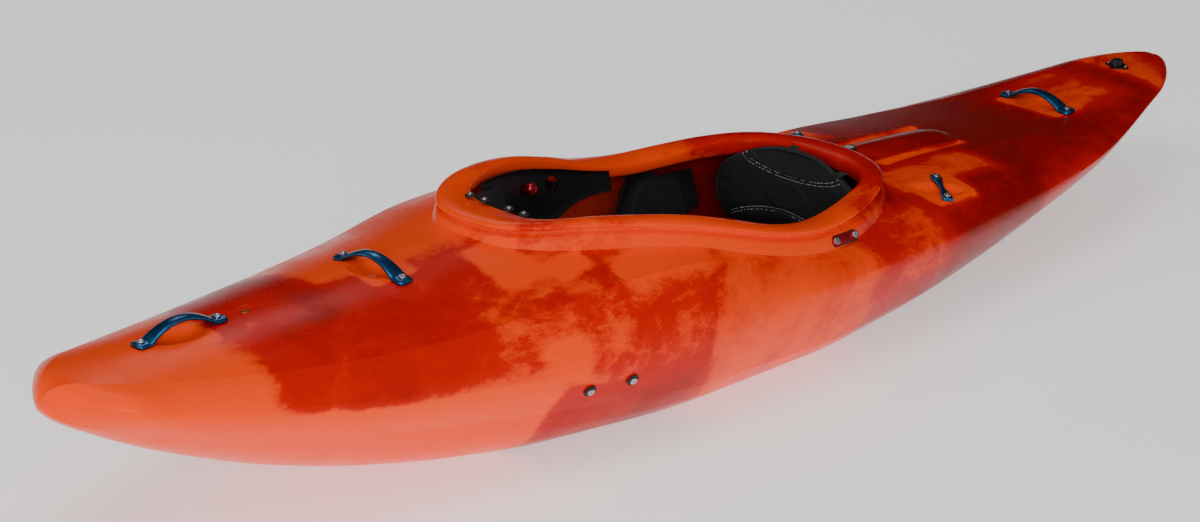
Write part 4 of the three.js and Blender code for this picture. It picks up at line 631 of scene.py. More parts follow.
def hip_face(side):
    """Where a hip plate lies on the rim, and its outward direction."""
    height = HIP_CREST - RIM_SWELL - HIP_PLATE_DROP + GAP
    place = spot(HIP_PLATE_X, side * (float(rim_breadth(HIP_PLATE_X)) + HIP_PLATE_OUT), height)
    return place, Vector((0, side * HIP_PLATE_WAY[0], HIP_PLATE_WAY[1])).normalized()


def rim_bolt_breadth():
    """How far from the boat's middle the rim bolts stand."""
    return float(mouth_breadth(RIM_BOLT_X)) + RIM_WALL + RIM_BOLT_OUT


def basis(origin, z_way, x_way=Vector((1, 0, 0))):
    """The turn and move that put a piece's Z and X along two directions, at a place."""
    z = Vector(z_way).normalized()
    x = (Vector(x_way) - z * Vector(x_way).dot(z)).normalized()
    y = z.cross(x)
    return Matrix.Translation(origin) @ Matrix((x, y, z)).transposed().to_4x4()


def upright(y):
    """Stands a flat plate on its edge along the boat, its foot at a breadth in millimetres."""
    return Matrix(((1, 0, 0, 0), (0, 0, -1, y * MM), (0, 1, 0, 0), (0, 0, 0, 1)))


def settle(obj, matrix):
    """Puts a piece in its place and leaves its object at the origin."""
    only(obj)
    obj.matrix_world = matrix @ obj.matrix_world
    bpy.ops.object.transform_apply(location=True, rotation=True, scale=True)
    return obj


def plate(name, edge, thickness, bevel):
    """A flat plate from its outline in millimetres, with rounded edges, its foot at height 0."""
    deselect()
    bpy.ops.mesh.primitive_circle_add(vertices=len(edge), radius=1, fill_type="NGON")
    obj = named(name)
    unit = points_of(obj)
    turn = np.mod(np.arctan2(unit[:, 1], unit[:, 0]), 2 * np.pi)
    order = np.rint(turn / (2 * np.pi) * len(edge)).astype(int)
    flat = np.array(edge, float)[order % len(edge)]
    set_points(obj, np.column_stack([flat, np.zeros(len(flat))]) * MM)
    only(obj)
    bpy.ops.object.mode_set(mode="EDIT")
    bpy.ops.mesh.select_all(action="SELECT")
    bpy.ops.mesh.extrude_region_move(TRANSFORM_OT_translate={"value": (0, 0, thickness * MM)})
    bpy.ops.object.mode_set(mode="OBJECT")
    faced_out(obj)
    return rounded(obj, bevel, PLATE_BEVEL_STEPS) if bevel else obj


def turned(name, profile, count, flute=None):
    """A turned piece about Z from its profile of radius and height; a flute changes the radius round it."""
    profile = np.array(profile, float)

    def shape(row, column):
        turn = 2 * np.pi * (column % count) / count
        radius = profile[row, 0]
        if flute:
            radius = flute(radius, turn, profile[row, 1])
        return np.column_stack([radius * np.cos(turn) + HALF_LENGTH, radius * np.sin(turn), profile[row, 1]])

    return close(grid(name, len(profile) - 1, count, shape), .0005)


def stadium(half_length, radius, steps=10):
    """A long outline with round ends."""
    turns = np.linspace(-np.pi / 2, np.pi / 2, steps)
    return ([(half_length + radius * math.cos(t), radius * math.sin(t)) for t in turns]
            + [(-half_length - radius * math.cos(t), -radius * math.sin(t)) for t in turns])


def tube(name, path, radius, sides):
    """A round cord, closed on itself, along a path in millimetres from the bow."""
    path = np.array(path, float)
    ahead = np.roll(path, -1, 0) - np.roll(path, 1, 0)
    ahead /= np.linalg.norm(ahead, axis=1)[:, None]
    normal = np.cross(ahead, (0, 0, 1.0) if abs(ahead[:, 2]).max() < .95 else (1.0, 0, 0))
    normal /= np.linalg.norm(normal, axis=1)[:, None]
    other = np.cross(ahead, normal)

    def shape(row, column):
        at = row % len(path)
        turn = 2 * np.pi * (column % sides) / sides
        return path[at] + (normal[at] * np.cos(turn)[:, None] + other[at] * np.sin(turn)[:, None]) * radius

    return smooth(close(grid(name, len(path), sides, shape), .0005), 60)


def copy_piece(source, name, matrix):
    """A copy with its own mesh, put in its place."""
    obj = source.copy()
    obj.data = source.data.copy()
    obj.name = obj.data.name = name
    bpy.context.scene.collection.objects.link(obj)
    return settle(obj, matrix)


def mirrored(source, name):
    """The other side's piece, its faces turned outward again."""
    return faced_out(copy_piece(source, name, Matrix.Diagonal((1, -1, 1, 1))))


def joined(name, *objs):
    """Several meshes made one piece."""
    only(*objs)
    if len(objs) > 1:
        bpy.ops.object.join()
    return named(name)


def from_solid(name, node, bevel=.8, segments=2):
    """A piece begun from a copy of a solid: merged, its flat faces made whole, its edges rounded."""
    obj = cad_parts[node].copy()
    obj.data = obj.data.copy()
    for key in list(obj.keys()):
        del obj[key]
    obj.parent = None
    obj.matrix_world = Matrix.Identity(4)
    obj.name = obj.data.name = name
    bpy.context.scene.collection.objects.link(obj)
    only(obj)
    bpy.ops.object.mode_set(mode="EDIT")
    bpy.ops.mesh.select_all(action="SELECT")
    bpy.ops.mesh.remove_doubles(threshold=1e-5)
    bpy.ops.mesh.customdata_custom_splitnormals_clear()
    bpy.ops.mesh.dissolve_limited(angle_limit=math.radians(2))
    bpy.ops.object.mode_set(mode="OBJECT")
    return smooth(rounded(obj, bevel, segments, 30), 40)


def keep(obj, body, slot, finish, *nodes):
    """Gives a finished piece its material and the body that it moves with, and hides the solids that it
    stands for.
    """
    obj.data.materials.clear()
    obj.data.materials.append(finish)
    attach(obj, body)
    if nodes:
        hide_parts(*nodes)
    return obj


def inflated(obj, held, pressure, cap):
    """Fills a padded cover with soft air pressure, no point moving further than the cap in millimetres."""
    rest = points_of(obj)
    group = obj.vertex_groups.new(name="held")
    group.add([int(i) for i in np.nonzero(held)[0]], 1.0, "REPLACE")
    only(obj)
    cloth = obj.modifiers.new("Cover", "CLOTH")
    cloth.settings.quality = 5
    cloth.settings.mass = .3
    cloth.settings.tension_stiffness = 15
    cloth.settings.compression_stiffness = 15
    cloth.settings.bending_stiffness = .5
    cloth.settings.use_pressure = True
    cloth.settings.uniform_pressure_force = pressure
    cloth.settings.vertex_group_mass = group.name
    cloth.settings.effector_weights.gravity = 0
    cloth.collision_settings.use_collision = False
    cloth.point_cache.frame_start = 1
    cloth.point_cache.frame_end = 20
    for moment in range(1, 21):
        bpy.context.scene.frame_set(moment)
    bpy.ops.object.modifier_apply(modifier=cloth.name)
    bpy.context.scene.frame_set(1)
    move = points_of(obj) - rest
    far = np.linalg.norm(move, axis=1)
    if not np.isfinite(far).all():
        raise RuntimeError(f"{obj.name}: the cover could not be filled")
    set_points(obj, rest + move * np.minimum(1, cap * MM / np.maximum(far, 1e-9))[:, None])
    obj.vertex_groups.clear()
    return obj


# Materials


def paint(text):
    """A colour written as red, green and blue in pairs, as the renderer's own values."""
    parts = [int(text[i:i + 2], 16) / 255 for i in (0, 2, 4)]
    return tuple(p / 12.92 if p <= .04045 else ((p + .055) / 1.055) ** 2.4 for p in parts)


class Finish:
    """A material being built from nodes on the piece's own object coordinates."""

    def __init__(self, name, **sockets):
        self.material = bpy.data.materials.new(name)
        self.material.use_nodes = True
        self.tree = self.material.node_tree
        self.tree.nodes.clear()
        self.shader = self.node("ShaderNodeBsdfPrincipled")
        out = self.node("ShaderNodeOutputMaterial")
        self.tree.links.new(self.shader.outputs[0], out.inputs[0])
        self.place = self.node("ShaderNodeTexCoord").outputs["Object"]
        for socket, value in sockets.items():
            self.set(socket.replace("_", " ").title().replace("Ior", "IOR"), value)

    def node(self, kind, **settings):
        """Adds a node."""
        node = self.tree.nodes.new(kind)
        for key, value in settings.items():
            setattr(node, key, value)
        return node

    def put(self, socket, value):
        """Links a socket, or sets its value or colour."""
        if isinstance(value, bpy.types.NodeSocket):
            self.tree.links.new(value, socket)
        elif hasattr(value, "__len__") and len(value) == 3 and len(socket.default_value) == 4:
            socket.default_value = (*value, 1)
        else:
            socket.default_value = value

    def set(self, name, value):
        """Sets or links one of the shader's own sockets."""
        self.put(self.shader.inputs[name], value)
        return self

    def stretch(self, scale, turn=(0, 0, 0)):
        """The object coordinates, stretched and turned."""
        node = self.node("ShaderNodeMapping")
        self.put(node.inputs["Vector"], self.place)
        node.inputs["Scale"].default_value = scale
        node.inputs["Rotation"].default_value = turn
        return node.outputs[0]

    def noise(self, scale, detail, roughness=.5, distortion=0, vector=None):
        """Cloudy noise; the scale counts its features over one metre."""
        node = self.node("ShaderNodeTexNoise")
        self.put(node.inputs["Vector"], vector or self.place)
        for key, value in (("Scale", scale), ("Detail", detail), ("Roughness", roughness),
                           ("Distortion", distortion)):
            node.inputs[key].default_value = value
        return node.outputs[0]

    def cells(self, scale, feature="F1"):
        """Small cells, by the distance to their middles."""
        node = self.node("ShaderNodeTexVoronoi", feature=feature)
        self.put(node.inputs["Vector"], self.place)
        node.inputs["Scale"].default_value = scale
        return node.outputs["Distance"]

    def wave(self, scale, direction, vector=None):
        """Even bands across one direction."""
        node = self.node("ShaderNodeTexWave", bands_direction=direction, wave_profile="SIN")
        self.put(node.inputs["Vector"], vector or self.place)
        node.inputs["Scale"].default_value = scale
        return node.outputs["Fac"]

    def attribute(self, name):
        """A value written on the points of the mesh."""
        return self.node("ShaderNodeAttribute", attribute_name=name).outputs["Fac"]

    def math(self, operation, a, b):
        """The sum, product or the like of two values."""
        node = self.node("ShaderNodeMath", operation=operation)
        self.put(node.inputs[0], a)
        self.put(node.inputs[1], b)
        return node.outputs[0]

    def between(self, value, low, high, to_low=0.0, to_high=1.0):
        """A value carried from one range to another."""
        node = self.node("ShaderNodeMapRange")
        for socket, item in zip(node.inputs, (value, low, high, to_low, to_high)):
            self.put(socket, item)
        return node.outputs[0]

    def ramp(self, value, *stops):
        """A colour for every value."""
        node = self.node("ShaderNodeValToRGB")
        self.put(node.inputs[0], value)
        band = node.color_ramp
        while len(band.elements) < len(stops):
            band.elements.new(1)
        for element, (place, colour) in zip(band.elements, stops):
            element.position = place
            element.color = (*colour, 1)
        return node.outputs[0]

    def mix(self, share, a, b):
        """A share of the way from one colour to another."""
        node = self.node("ShaderNodeMix", data_type="RGBA")
        self.put(node.inputs[0], share)
        self.put(node.inputs[6], a)
        self.put(node.inputs[7], b)
        return node.outputs[2]

    def bump(self, height, depth, strength, under=None):
        """Fine relief of a depth in millimetres, laid over the relief under it."""
        node = self.node("ShaderNodeBump")
        node.inputs["Strength"].default_value = strength
        node.inputs["Distance"].default_value = depth * MM
        self.put(node.inputs["Height"], height)
        if under:
            self.put(node.inputs["Normal"], under)
        return node.outputs[0]

    def done(self, roughness=None, normal=None, colour=None):
        """Joins up the shader and gives back the material."""
        if colour is not None:
            self.set("Base Color", colour)
        if roughness is not None:
            self.set("Roughness", roughness)
        if normal is not None:
            self.set("Normal", normal)
        return self.material


finishes = {}


def finish(name):
    """Each material is made once, when the first piece asks for it."""
    if name not in finishes:
        finishes[name] = makers[name](bpy.context.scene.kayak_colours)
    return finishes[name]


def mottled_plastic(colours):
    """Orange, red and dark red plastic that run into each other, satin and a little scratched."""
    f = Finish("mottled hull plastic", ior=1.26, specular_tint=paint("FFB08A"))
    tone = f.attribute("tone")
    swirl = f.noise(5.5, 7, .6, 1.4)
    feather = f.noise(30, 7, .75, .6, f.stretch((.6, 1, 1)))
    speck = f.noise(420, 2, .6)
    value = f.math("ADD", tone, f.math("MULTIPLY", f.math("SUBTRACT", swirl, .5), .62))
    value = f.math("ADD", value, f.math("MULTIPLY", f.math("SUBTRACT", feather, .5), .5))
    value = f.math("ADD", value, f.math("MULTIPLY", f.math("SUBTRACT", speck, .5), .16))
    red = tuple(colours.streaks)
    mid = tuple(a * .6 + b * .4 for a, b in zip(colours.bright, red))
    colour = f.ramp(value, (.26, colours.bright), (.38, mid), (.46, red), (.64, tuple(c * .85 for c in red)),
                    (.92, colours.dark), (1, colours.dark))
    fleck = f.between(f.noise(900, 1, .5), .62, .72)
    colour = f.mix(f.math("MULTIPLY", fleck, .25), colour, tuple(c * .45 for c in colours.dark))
    peel = f.noise(260, 3, .5)
    scratch = f.between(f.noise(9, 4, .75, .2, f.stretch((2.2, 60, 60), (.2, .1, .4))), .66, .7)
    rough = f.between(f.noise(14, 5, .6), .3, .7, .22, .36)
    rough = f.math("ADD", rough, f.math("MULTIPLY", scratch, .12))
    normal = f.bump(peel, .12, .35)
    normal = f.bump(scratch, -.02, .15, normal)
    return f.done(rough, normal, colour)


def anodised(name, colour, edge, roughness):
    """A coloured metal coat, lighter in random patches: wear on the red fittings, and painted sheen on the
    blue handles.
    """
    f = Finish(name, metallic=.85, coat_weight=.25, coat_roughness=.18)
    # Random patches of the lighter colour: real wear on red metal, painted sheen on blue metal.
    wear_and_sheen = f.between(f.noise(38, 6, .7), .46, .75)
    grain = f.noise(700, 2, .6)
    base = f.mix(wear_and_sheen, colour, edge)
    rough = f.between(f.noise(60, 4, .6), .3, .7, roughness - .06, roughness + .1)
    return f.done(rough, f.bump(grain, .03, .4), base)


def steel(colours):
    """Bright turned steel."""
    f = Finish("stainless steel", metallic=1.0)
    lines = f.noise(900, 2, .5, 0, f.stretch((1, 1, .05)))
    base = f.mix(f.between(f.noise(120, 3, .6), .4, .7), paint("C4C7CA"), paint("8F9499"))
    return f.done(f.between(lines, .3, .7, .2, .36), f.bump(lines, .02, .4), base)


def brass(colours):
    """Dulled brass."""
    f = Finish("brass", metallic=1.0)
    base = f.mix(f.noise(160, 4, .6), paint("C29A45"), paint("8A6526"))
    return f.done(f.between(f.noise(300, 2), .3, .7, .26, .42), f.bump(f.noise(500, 2), .02, .4), base)


def moulded_black(colours):
    """Black moulded plastic with a pebbled face."""
    f = Finish("moulded black plastic", specular_ior_level=.32)
    pebble = f.cells(620, "SMOOTH_F1")
    base = f.mix(f.noise(30, 4, .6), colours.black, tuple(c * 1.9 for c in colours.black))
    rough = f.between(f.noise(24, 5, .6), .3, .7, .38, .58)
    return f.done(rough, f.bump(f.noise(40, 3), .2, .2, f.bump(pebble, .1, .35)), base)


def rubber(colours):
    """Dull black rubber."""
    f = Finish("black rubber", ior=1.5)
    base = f.mix(f.noise(90, 4, .6), paint("101113"), paint("212326"))
    return f.done(f.between(f.noise(200, 2), .3, .7, .6, .78), f.bump(f.noise(800, 2), .05, .5), base)


def red_metal(colours):
    wear_and_sheen = tuple(min(c * 1.6 + .02, 1) for c in colours.red)
    return anodised("red anodised metal", tuple(colours.red), wear_and_sheen, .3)


def blue_metal(colours):
    # The handle sheen colour is painted sheen, mixed over the blue in random patches.
    return anodised("blue anodised metal", tuple(colours.handles), tuple(colours.handle_sheen), .27)


def aluminium(colours):
    """Drawn aluminium with lines along it."""
    f = Finish("bare aluminium", metallic=1.0)
    lines = f.noise(60, 3, .6, 0, f.stretch((.6, 30, 30)))
    base = f.mix(f.noise(40, 4), paint("A9ACAF"), paint("7E8286"))
    return f.done(f.between(lines, .3, .7, .3, .5), f.bump(lines, .03, .4), base)


def silver(colours):
    """A plain silver face."""
    f = Finish("silver foil", metallic=.25)
    base = f.mix(f.noise(220, 3), paint("C9CBCD"), paint("A3A6A9"))
    return f.done(f.between(f.noise(90, 4), .3, .7, .25, .4), f.bump(f.noise(350, 2), .02, .3), base)


def foam(colours):
    """Closed-cell foam, matt, with fine cells."""
    f = Finish("closed-cell foam", sheen_weight=.03, sheen_roughness=.5, specular_ior_level=.35)
    cells = f.cells(900)
    base = f.mix(f.noise(45, 5, .65), colours.foam, tuple(c * 1.8 for c in colours.foam))
    normal = f.bump(f.noise(30, 4), .6, .3, f.bump(cells, .25, .5))
    return f.done(f.between(f.noise(120, 3), .3, .7, .78, .92), normal, base)


def woven(colours):
    """Black woven cloth."""
    f = Finish("woven black cloth", sheen_weight=.05, sheen_roughness=.4, specular_ior_level=.3)
    warp = f.wave(820, "Y")
    weft = f.wave(820, "Z")
    weave = f.math("MAXIMUM", warp, weft)
    base = f.mix(f.noise(26, 5, .6), colours.cloth, tuple(c * 2.1 for c in colours.cloth))
    base = f.mix(f.math("MULTIPLY", weave, .3), base, tuple(c * 3 for c in colours.cloth))
    normal = f.bump(f.noise(28, 4, .6), 1.4, .35, f.bump(weave, .22, .5))
    return f.done(f.between(f.noise(60, 3), .3, .7, .62, .82), normal, base)


def webbing(colours):
    """Ribbed black webbing."""
    f = Finish("black webbing", sheen_weight=.05, sheen_roughness=.4, specular_ior_level=.3)
    ribs = f.wave(420, "X", f.stretch((1, 1, .2)))
    base = f.mix(f.noise(80, 3), paint("0E0F10"), paint("232527"))
    return f.done(f.between(f.noise(90, 3), .3, .7, .6, .75), f.bump(ribs, .2, .6), base)


def thread(colours):
    """Twisted white thread."""
    f = Finish("white thread", sheen_weight=.1)
    twist = f.wave(900, "DIAGONAL")
    base = f.mix(f.noise(300, 2), paint("E4E4E2"), paint("B5B4B0"))
    return f.done(f.between(twist, 0, 1, .5, .7), f.bump(twist, .05, .5), base)


def pale_floor(colours):
    """A plain pale floor that shines a little by itself."""
    f = Finish("pale studio floor", emission_color=(1, 1, 1), emission_strength=.55)
    base = f.mix(f.noise(.8, 2), paint("F4F4F3"), paint("F0F0EF"))
    return f.done(f.between(f.noise(3, 3), 0, 1, .75, .85), f.bump(f.noise(60, 2), .05, .05), base)


makers = {
    "hull": mottled_plastic, "blue": blue_metal, "steel": steel, "brass": brass, "black": moulded_black,
    "rubber": rubber, "red": red_metal, "aluminium": aluminium, "silver": silver, "foam": foam,
    "woven": woven, "webbing": webbing, "thread": thread, "floor": pale_floor,
}


def wash(mesh_points):
    """How far each point's plastic leans from bright orange, 0, to dark red, 1."""
    x = mesh_points[:, 0] / MM + HALF_LENGTH
    rise = mesh_points[:, 2] / MM - hull_lines(np.clip(x, 0, LENGTH))["seam_z"]
    places = (x, mesh_points[:, 1] / MM, rise)
    tone = tone_along(x)
    for *spans, edge, goal in PATCHES:
        inside = np.ones(len(x))
        for place, low, high in zip(places, spans[::2], spans[1::2]):
            for depth in (place - low, high - place):
                share = np.clip(depth / edge + .5, 0, 1)
                inside *= share * share * (3 - 2 * share)
        tone = tone + (goal - tone) * inside
    return tone


def creased(obj, across, up):
    """Marks as sharp the edges that run along one of the hull's lines."""
    x, y, z = (points_of(obj) / MM).T
    line = hull_lines(np.clip(x + HALF_LENGTH, 0, LENGTH))
    near = (np.abs(np.abs(y) - line[across]) < .4) & (np.abs(z - line[up]) < .6)
    ends = np.empty(2 * len(obj.data.edges), np.int32)
    obj.data.edges.foreach_get("vertices", ends)
    sharp = np.empty(len(obj.data.edges), bool)
    obj.data.edges.foreach_get("use_edge_sharp", sharp)
    obj.data.edges.foreach_set("use_edge_sharp", sharp | near[ends].reshape(-1, 2).all(axis=1))


def washed(obj, shift=0.0):
    """Writes the plastic's tone on every point, for the hull's material to read."""
    tone = obj.data.attributes.new("tone", "FLOAT", "POINT")
    tone.data.foreach_set("value", (wash(points_of(obj)) + shift).astype(np.float32))
    return obj


tone_along = curve([0, 262, 318, 700, 1000, 1200, 1500, 1650, 1800, 2750],
                  [.06, .1, .43, .46, .44, .36, .42, .62, .78, .78])
# Patches of the plastic's colour. Each one's numbers: from and to along the boat, from and to across it,
# from and to above its seam, the softness of its edge, its tone.
PATCHES = [
    (230, 810, -400, 400, -300, -4, 30, .1), (810, 1130, -400, 400, -300, -60, 60, .66),
    (330, 700, -270, -118, 12, 130, 34, .57), (540, 1010, 0, 260, 20, 300, 50, .22),
    (330, 470, -60, 60, 20, 300, 60, .46), (690, 800, -120, -40, 60, 300, 40, .56),
    (790, 868, -185, -60, 60, 300, 34, .08), (875, 950, -215, -165, 40, 300, 26, .1),
    (965, 1160, -285, -215, 30, 300, 40, .14), (770, 860, -330, -240, -20, 50, 40, .2),
    (1190, 1530, -400, 400, -300, 300, 120, .3), (1600, 1760, -330, -215, -60, 300, 60, .4),
    (1745, 2030, -185, -84, 0, 300, 50, .38), (1770, 1900, -240, -170, 0, 300, 50, .32),
    (1826, 2074, -72, -48, 0, 300, 12, .3), (1826, 2074, 48, 72, 0, 300, 12, .3),
    (1745, 1900, 110, 230, 0, 300, 30, .42), (2080, 2330, -330, -150, -200, 20, 60, .55),
    (2335, 2420, -80, 80, 0, 300, 26, .05), (2360, 2540, -90, 110, 0, 300, 80, .36),
    (2600, 2760, -200, 200, 0, 300, 30, .38), (222, 306, -50, 50, 0, 300, 20, 0),
    (612, 698, -60, 60, 0, 300, 20, 0),
    (BAR_X - 55, BAR_X + 55, -BAR_Y - 45, -BAR_Y + 45, -50, 300, 20, .06),
    (BAR_X - 55, BAR_X + 55, BAR_Y - 45, BAR_Y + 45, -50, 300, 20, .06),
]

# Sizes and colours that a user may change


class KayakSizes(bpy.types.PropertyGroup):
    """Sizes that a user may change"""
    piping: bpy.props.FloatProperty(
        name="Piping radius", description="Radius of the cord sewn round the backrest",
        default=2.4 * MM, min=.5 * MM, max=6 * MM, unit="LENGTH")
    stitch: bpy.props.FloatProperty(
        name="Stitch length", description="Length of one stitch on the backrest",
        default=3.2 * MM, min=1 * MM, max=10 * MM, unit="LENGTH")
    stitch_pitch: bpy.props.FloatProperty(
        name="Stitch pitch", description="Distance from one stitch to the next",
        default=5.2 * MM, min=2 * MM, max=20 * MM, unit="LENGTH")
    floor: bpy.props.FloatProperty(
        name="Floor width", description="Width of the studio floor",
        default=60.0, min=5.0, max=200.0, unit="LENGTH")


def colour(name, description, text):
    """A colour that a user may change."""
    return bpy.props.FloatVectorProperty(
        name=name, description=description, default=paint(text), min=0, max=1, size=3, subtype="COLOR")


class KayakColours(bpy.types.PropertyGroup):
    """Colours that a user may change"""
    bright: colour("Bright plastic", "The orange of the bow and the hand hollows", "FF4400")
    streaks: colour("Streaks", "The red streaked through the plastic", "C80C06")
    dark: colour("Dark plastic", "The dark red of the stern", "860D0C")
    handles: colour("Handles", "The blue of the carrying handles", "0F4C7E")
    # The handles' lighter blue is painted sheen, laid in random patches over their own blue.
    handle_sheen: colour("Handle sheen", "The lighter blue where handles are worn", "2E86B8")
    red: colour("Red fittings", "Knobs and hip plates", "B01820")
    black: colour("Black plastic", "Braces, seat and drain plug", "0C0D0E")
    cloth: colour("Cloth", "Covers of the backrest and the seat", "0A0B0D")
    foam: colour("Foam", "Hip pads, footrest pad and pillars", "0F1012")


def done():
    """Leaves nothing selected and says that the operator has finished."""
    deselect()
    return {"FINISHED"}


# Studio

# Each square light's name, place in metres, width in metres, power in watts and tint.
LIGHTS = (
    ("key_light", (-3.6, -3.6, 1.6), 1.7, 95, (1, .985, .96)),
    ("top_light", (-1.5, -.7, 4.2), 2.2, 52, (1, 1, 1)),
    ("bow_light", (-4.4, .9, 2.0), 1.4, 25, (.97, .985, 1)),
    ("stern_light", (1.6, 3.2, 3.8), 1.4, 14, (.97, .985, 1)),
)
LIGHTS_AIM = Vector((0, 0, .15))
SKY_WAY = Vector((-.62, -.72, .3))
SKY_STRENGTH = (.03, .62)
CAMERA_TURN, CAMERA_RISE, CAMERA_ROLL = .798186533, .364466737, -.00111952
CAMERA_AIM = Vector((-207.59, 0, 207.88)) * MM
CAMERA_DISTANCE = 5.64168
CAMERA_LENS, CAMERA_SENSOR = 97.7055, 36


def hang_lights():
    """Four square lights, all turned toward the boat."""
    for name, place, size, power, tint in LIGHTS:
        bpy.ops.object.light_add(type="AREA", location=place)
        light = bpy.context.active_object
        light.name = name
        light.data.shape = "SQUARE"
        light.data.size = size
        light.data.energy = power
        light.data.color = tint
        light.rotation_euler = (LIGHTS_AIM - Vector(place)).to_track_quat("-Z", "Y").to_euler()


def soft_sky():
    """A white world that glows most on the side that the key light comes from."""
    world = bpy.data.worlds.new("studio")
    world.use_nodes = True
    nodes, links = world.node_tree.nodes, world.node_tree.links
    background = nodes["Background"]
    background.inputs["Color"].default_value = (1, 1, 1, 1)
    way = nodes.new("ShaderNodeTexCoord")
    facing = nodes.new("ShaderNodeVectorMath")
    facing.operation = "DOT_PRODUCT"
    facing.inputs[1].default_value = SKY_WAY.normalized()
    glow = nodes.new("ShaderNodeMapRange")
    for socket, value in zip(list(glow.inputs)[1:5], (-.25, 1, *SKY_STRENGTH)):
        socket.default_value = value
    links.new(way.outputs["Generated"], facing.inputs[0])
    links.new(facing.outputs["Value"], glow.inputs[0])
    links.new(glow.outputs[0], background.inputs["Strength"])
    bpy.context.scene.world = world


def set_camera():
    """The camera stands where the photograph was taken from."""
    turn, rise, roll = CAMERA_TURN, CAMERA_RISE, CAMERA_ROLL
    ahead = Vector((math.cos(rise) * math.cos(turn), math.cos(rise) * math.sin(turn), -math.sin(rise)))
    right = Vector((math.sin(turn), -math.cos(turn), 0))
    up = right.cross(ahead)
    across = right * math.cos(roll) + up * math.sin(roll)
    upright = up * math.cos(roll) - right * math.sin(roll)
    bpy.ops.object.camera_add()
    camera = bpy.context.active_object
    camera.name = "camera"
    camera.data.sensor_width = CAMERA_SENSOR
    camera.data.lens = CAMERA_LENS
    camera.data.clip_end = 100
    frame_way = Matrix((across, upright, -ahead)).transposed().to_4x4()
    camera.matrix_world = Matrix.Translation(CAMERA_AIM - ahead * CAMERA_DISTANCE) @ frame_way
    bpy.context.scene.camera = camera


class KAYAK_OT_stage(bpy.types.Operator):
    """Lays the pale floor, hangs the soft lights and sets the camera"""
    bl_idname = "kayak.stage"
    bl_label = "Studio"
    bl_options = {"REGISTER", "UNDO"}

    def execute(self, context):
        deselect()
        bpy.ops.mesh.primitive_plane_add(size=context.scene.kayak_sizes.floor)
        floor = named("studio_floor")
        floor.data.materials.append(finish("floor"))
        hang_lights()
        soft_sky()
        set_camera()
        return done()


# Hull


# How far apart the hull's cross-sections stand, up to each place; closer at the hollows, bolts and grooves.
HULL_STEPS = (
    (200, 10), (330, 4.6), (612, 13), (700, 4.6), (840, 13), (980, 4.6), (1775, 13), (1925, 4), (2095, 5),
    (2330, 13), (2412, 4.6), (LENGTH - STERN_ROUND, 13),
)


class KAYAK_OT_hull(bpy.types.Operator):
    """Moulds the hull's skin with its hand hollows, spine and grooves"""
    bl_idname = "kayak.hull"
    bl_label = "Hull"
    bl_options = {"REGISTER", "UNDO"}

    def execute(self, context):
        turns = np.linspace(0, math.pi / 2, 27)
        places = list(BOW_ROUND * (1 - np.cos(turns)))
        for stop, step in HULL_STEPS:
            start = places[-1]
            count = max(int(round((stop - start) / step)), 1)
            places += [start + (stop - start) * (i + 1) / count for i in range(count)]
        places += list(LENGTH - STERN_ROUND * (1 - np.cos(turns[-2::-1])))
        places = np.array(places)
        eighths = np.linspace(1 / 8, 1, 8)
        half_y, half_z = half_section(places, np.linspace(0, 1, 49), eighths, eighths, 1 - eighths ** 1.2)
        strip = np.maximum(np.abs(places[:, None] - np.mean(FOOT_BOLTS_X)) - np.ptp(FOOT_BOLTS_X) / 2, 0)
        off = np.hypot(strip, half_z - FOOT_BOLT_Z) + np.where(half_y < HALF_BEAM / 2, HEIGHT, 0)
        half_y = half_y - STRIP_DEPTH * np.clip((STRIP_REACH - off) / STRIP_EDGE + .5, 0, 1)
        half = half_y.shape[1] - 1

        def shape(row, column):
            side = np.where(column <= half, 1, -1)
            at = np.where(column <= half, column, 2 * half - column)
            return np.column_stack([places[row], side * half_y[row, at], half_z[row, at]])

        skin = close(grid("hull_skin", len(places) - 1, 2 * half, shape), .01)
        x, y, z = (points_of(skin) / MM).T
        x = x + HALF_LENGTH
        under = (x > RIM_FRONT_X) & (x < RIM_FRONT_X + RIM_LENGTH) & (np.abs(y) < rim_breadth(x))
        under &= z > hull_lines(x)["seam_z"]
        corners = np.empty(len(skin.data.loops), np.int32)
        skin.data.loops.foreach_get("vertex_index", corners)
        starts = np.empty(len(skin.data.polygons), np.int32)
        skin.data.polygons.foreach_get("loop_start", starts)
        inside = np.logical_and.reduceat(under[corners], starts)
        only(skin)
        bpy.ops.object.mode_set(mode="EDIT")
        bpy.ops.mesh.select_mode(type="FACE")
        bpy.ops.mesh.select_all(action="DESELECT")
        bpy.ops.object.mode_set(mode="OBJECT")
        skin.data.polygons.foreach_set("select", inside)
        bpy.ops.object.mode_set(mode="EDIT")
        bpy.ops.mesh.delete(type="FACE")
        bpy.ops.object.mode_set(mode="OBJECT")
        modify(skin, "SOLIDIFY", thickness=WALL * MM, offset=-1, use_quality_normals=True)
        smooth(washed(skin), 42)
        creased(skin, "shoulder_y", "shoulder_z")
        creased(skin, "chine_y", "chine_z")
        keep(skin, "boat", "hull_plastic", finish("hull"), "hull_shell")
        return done()


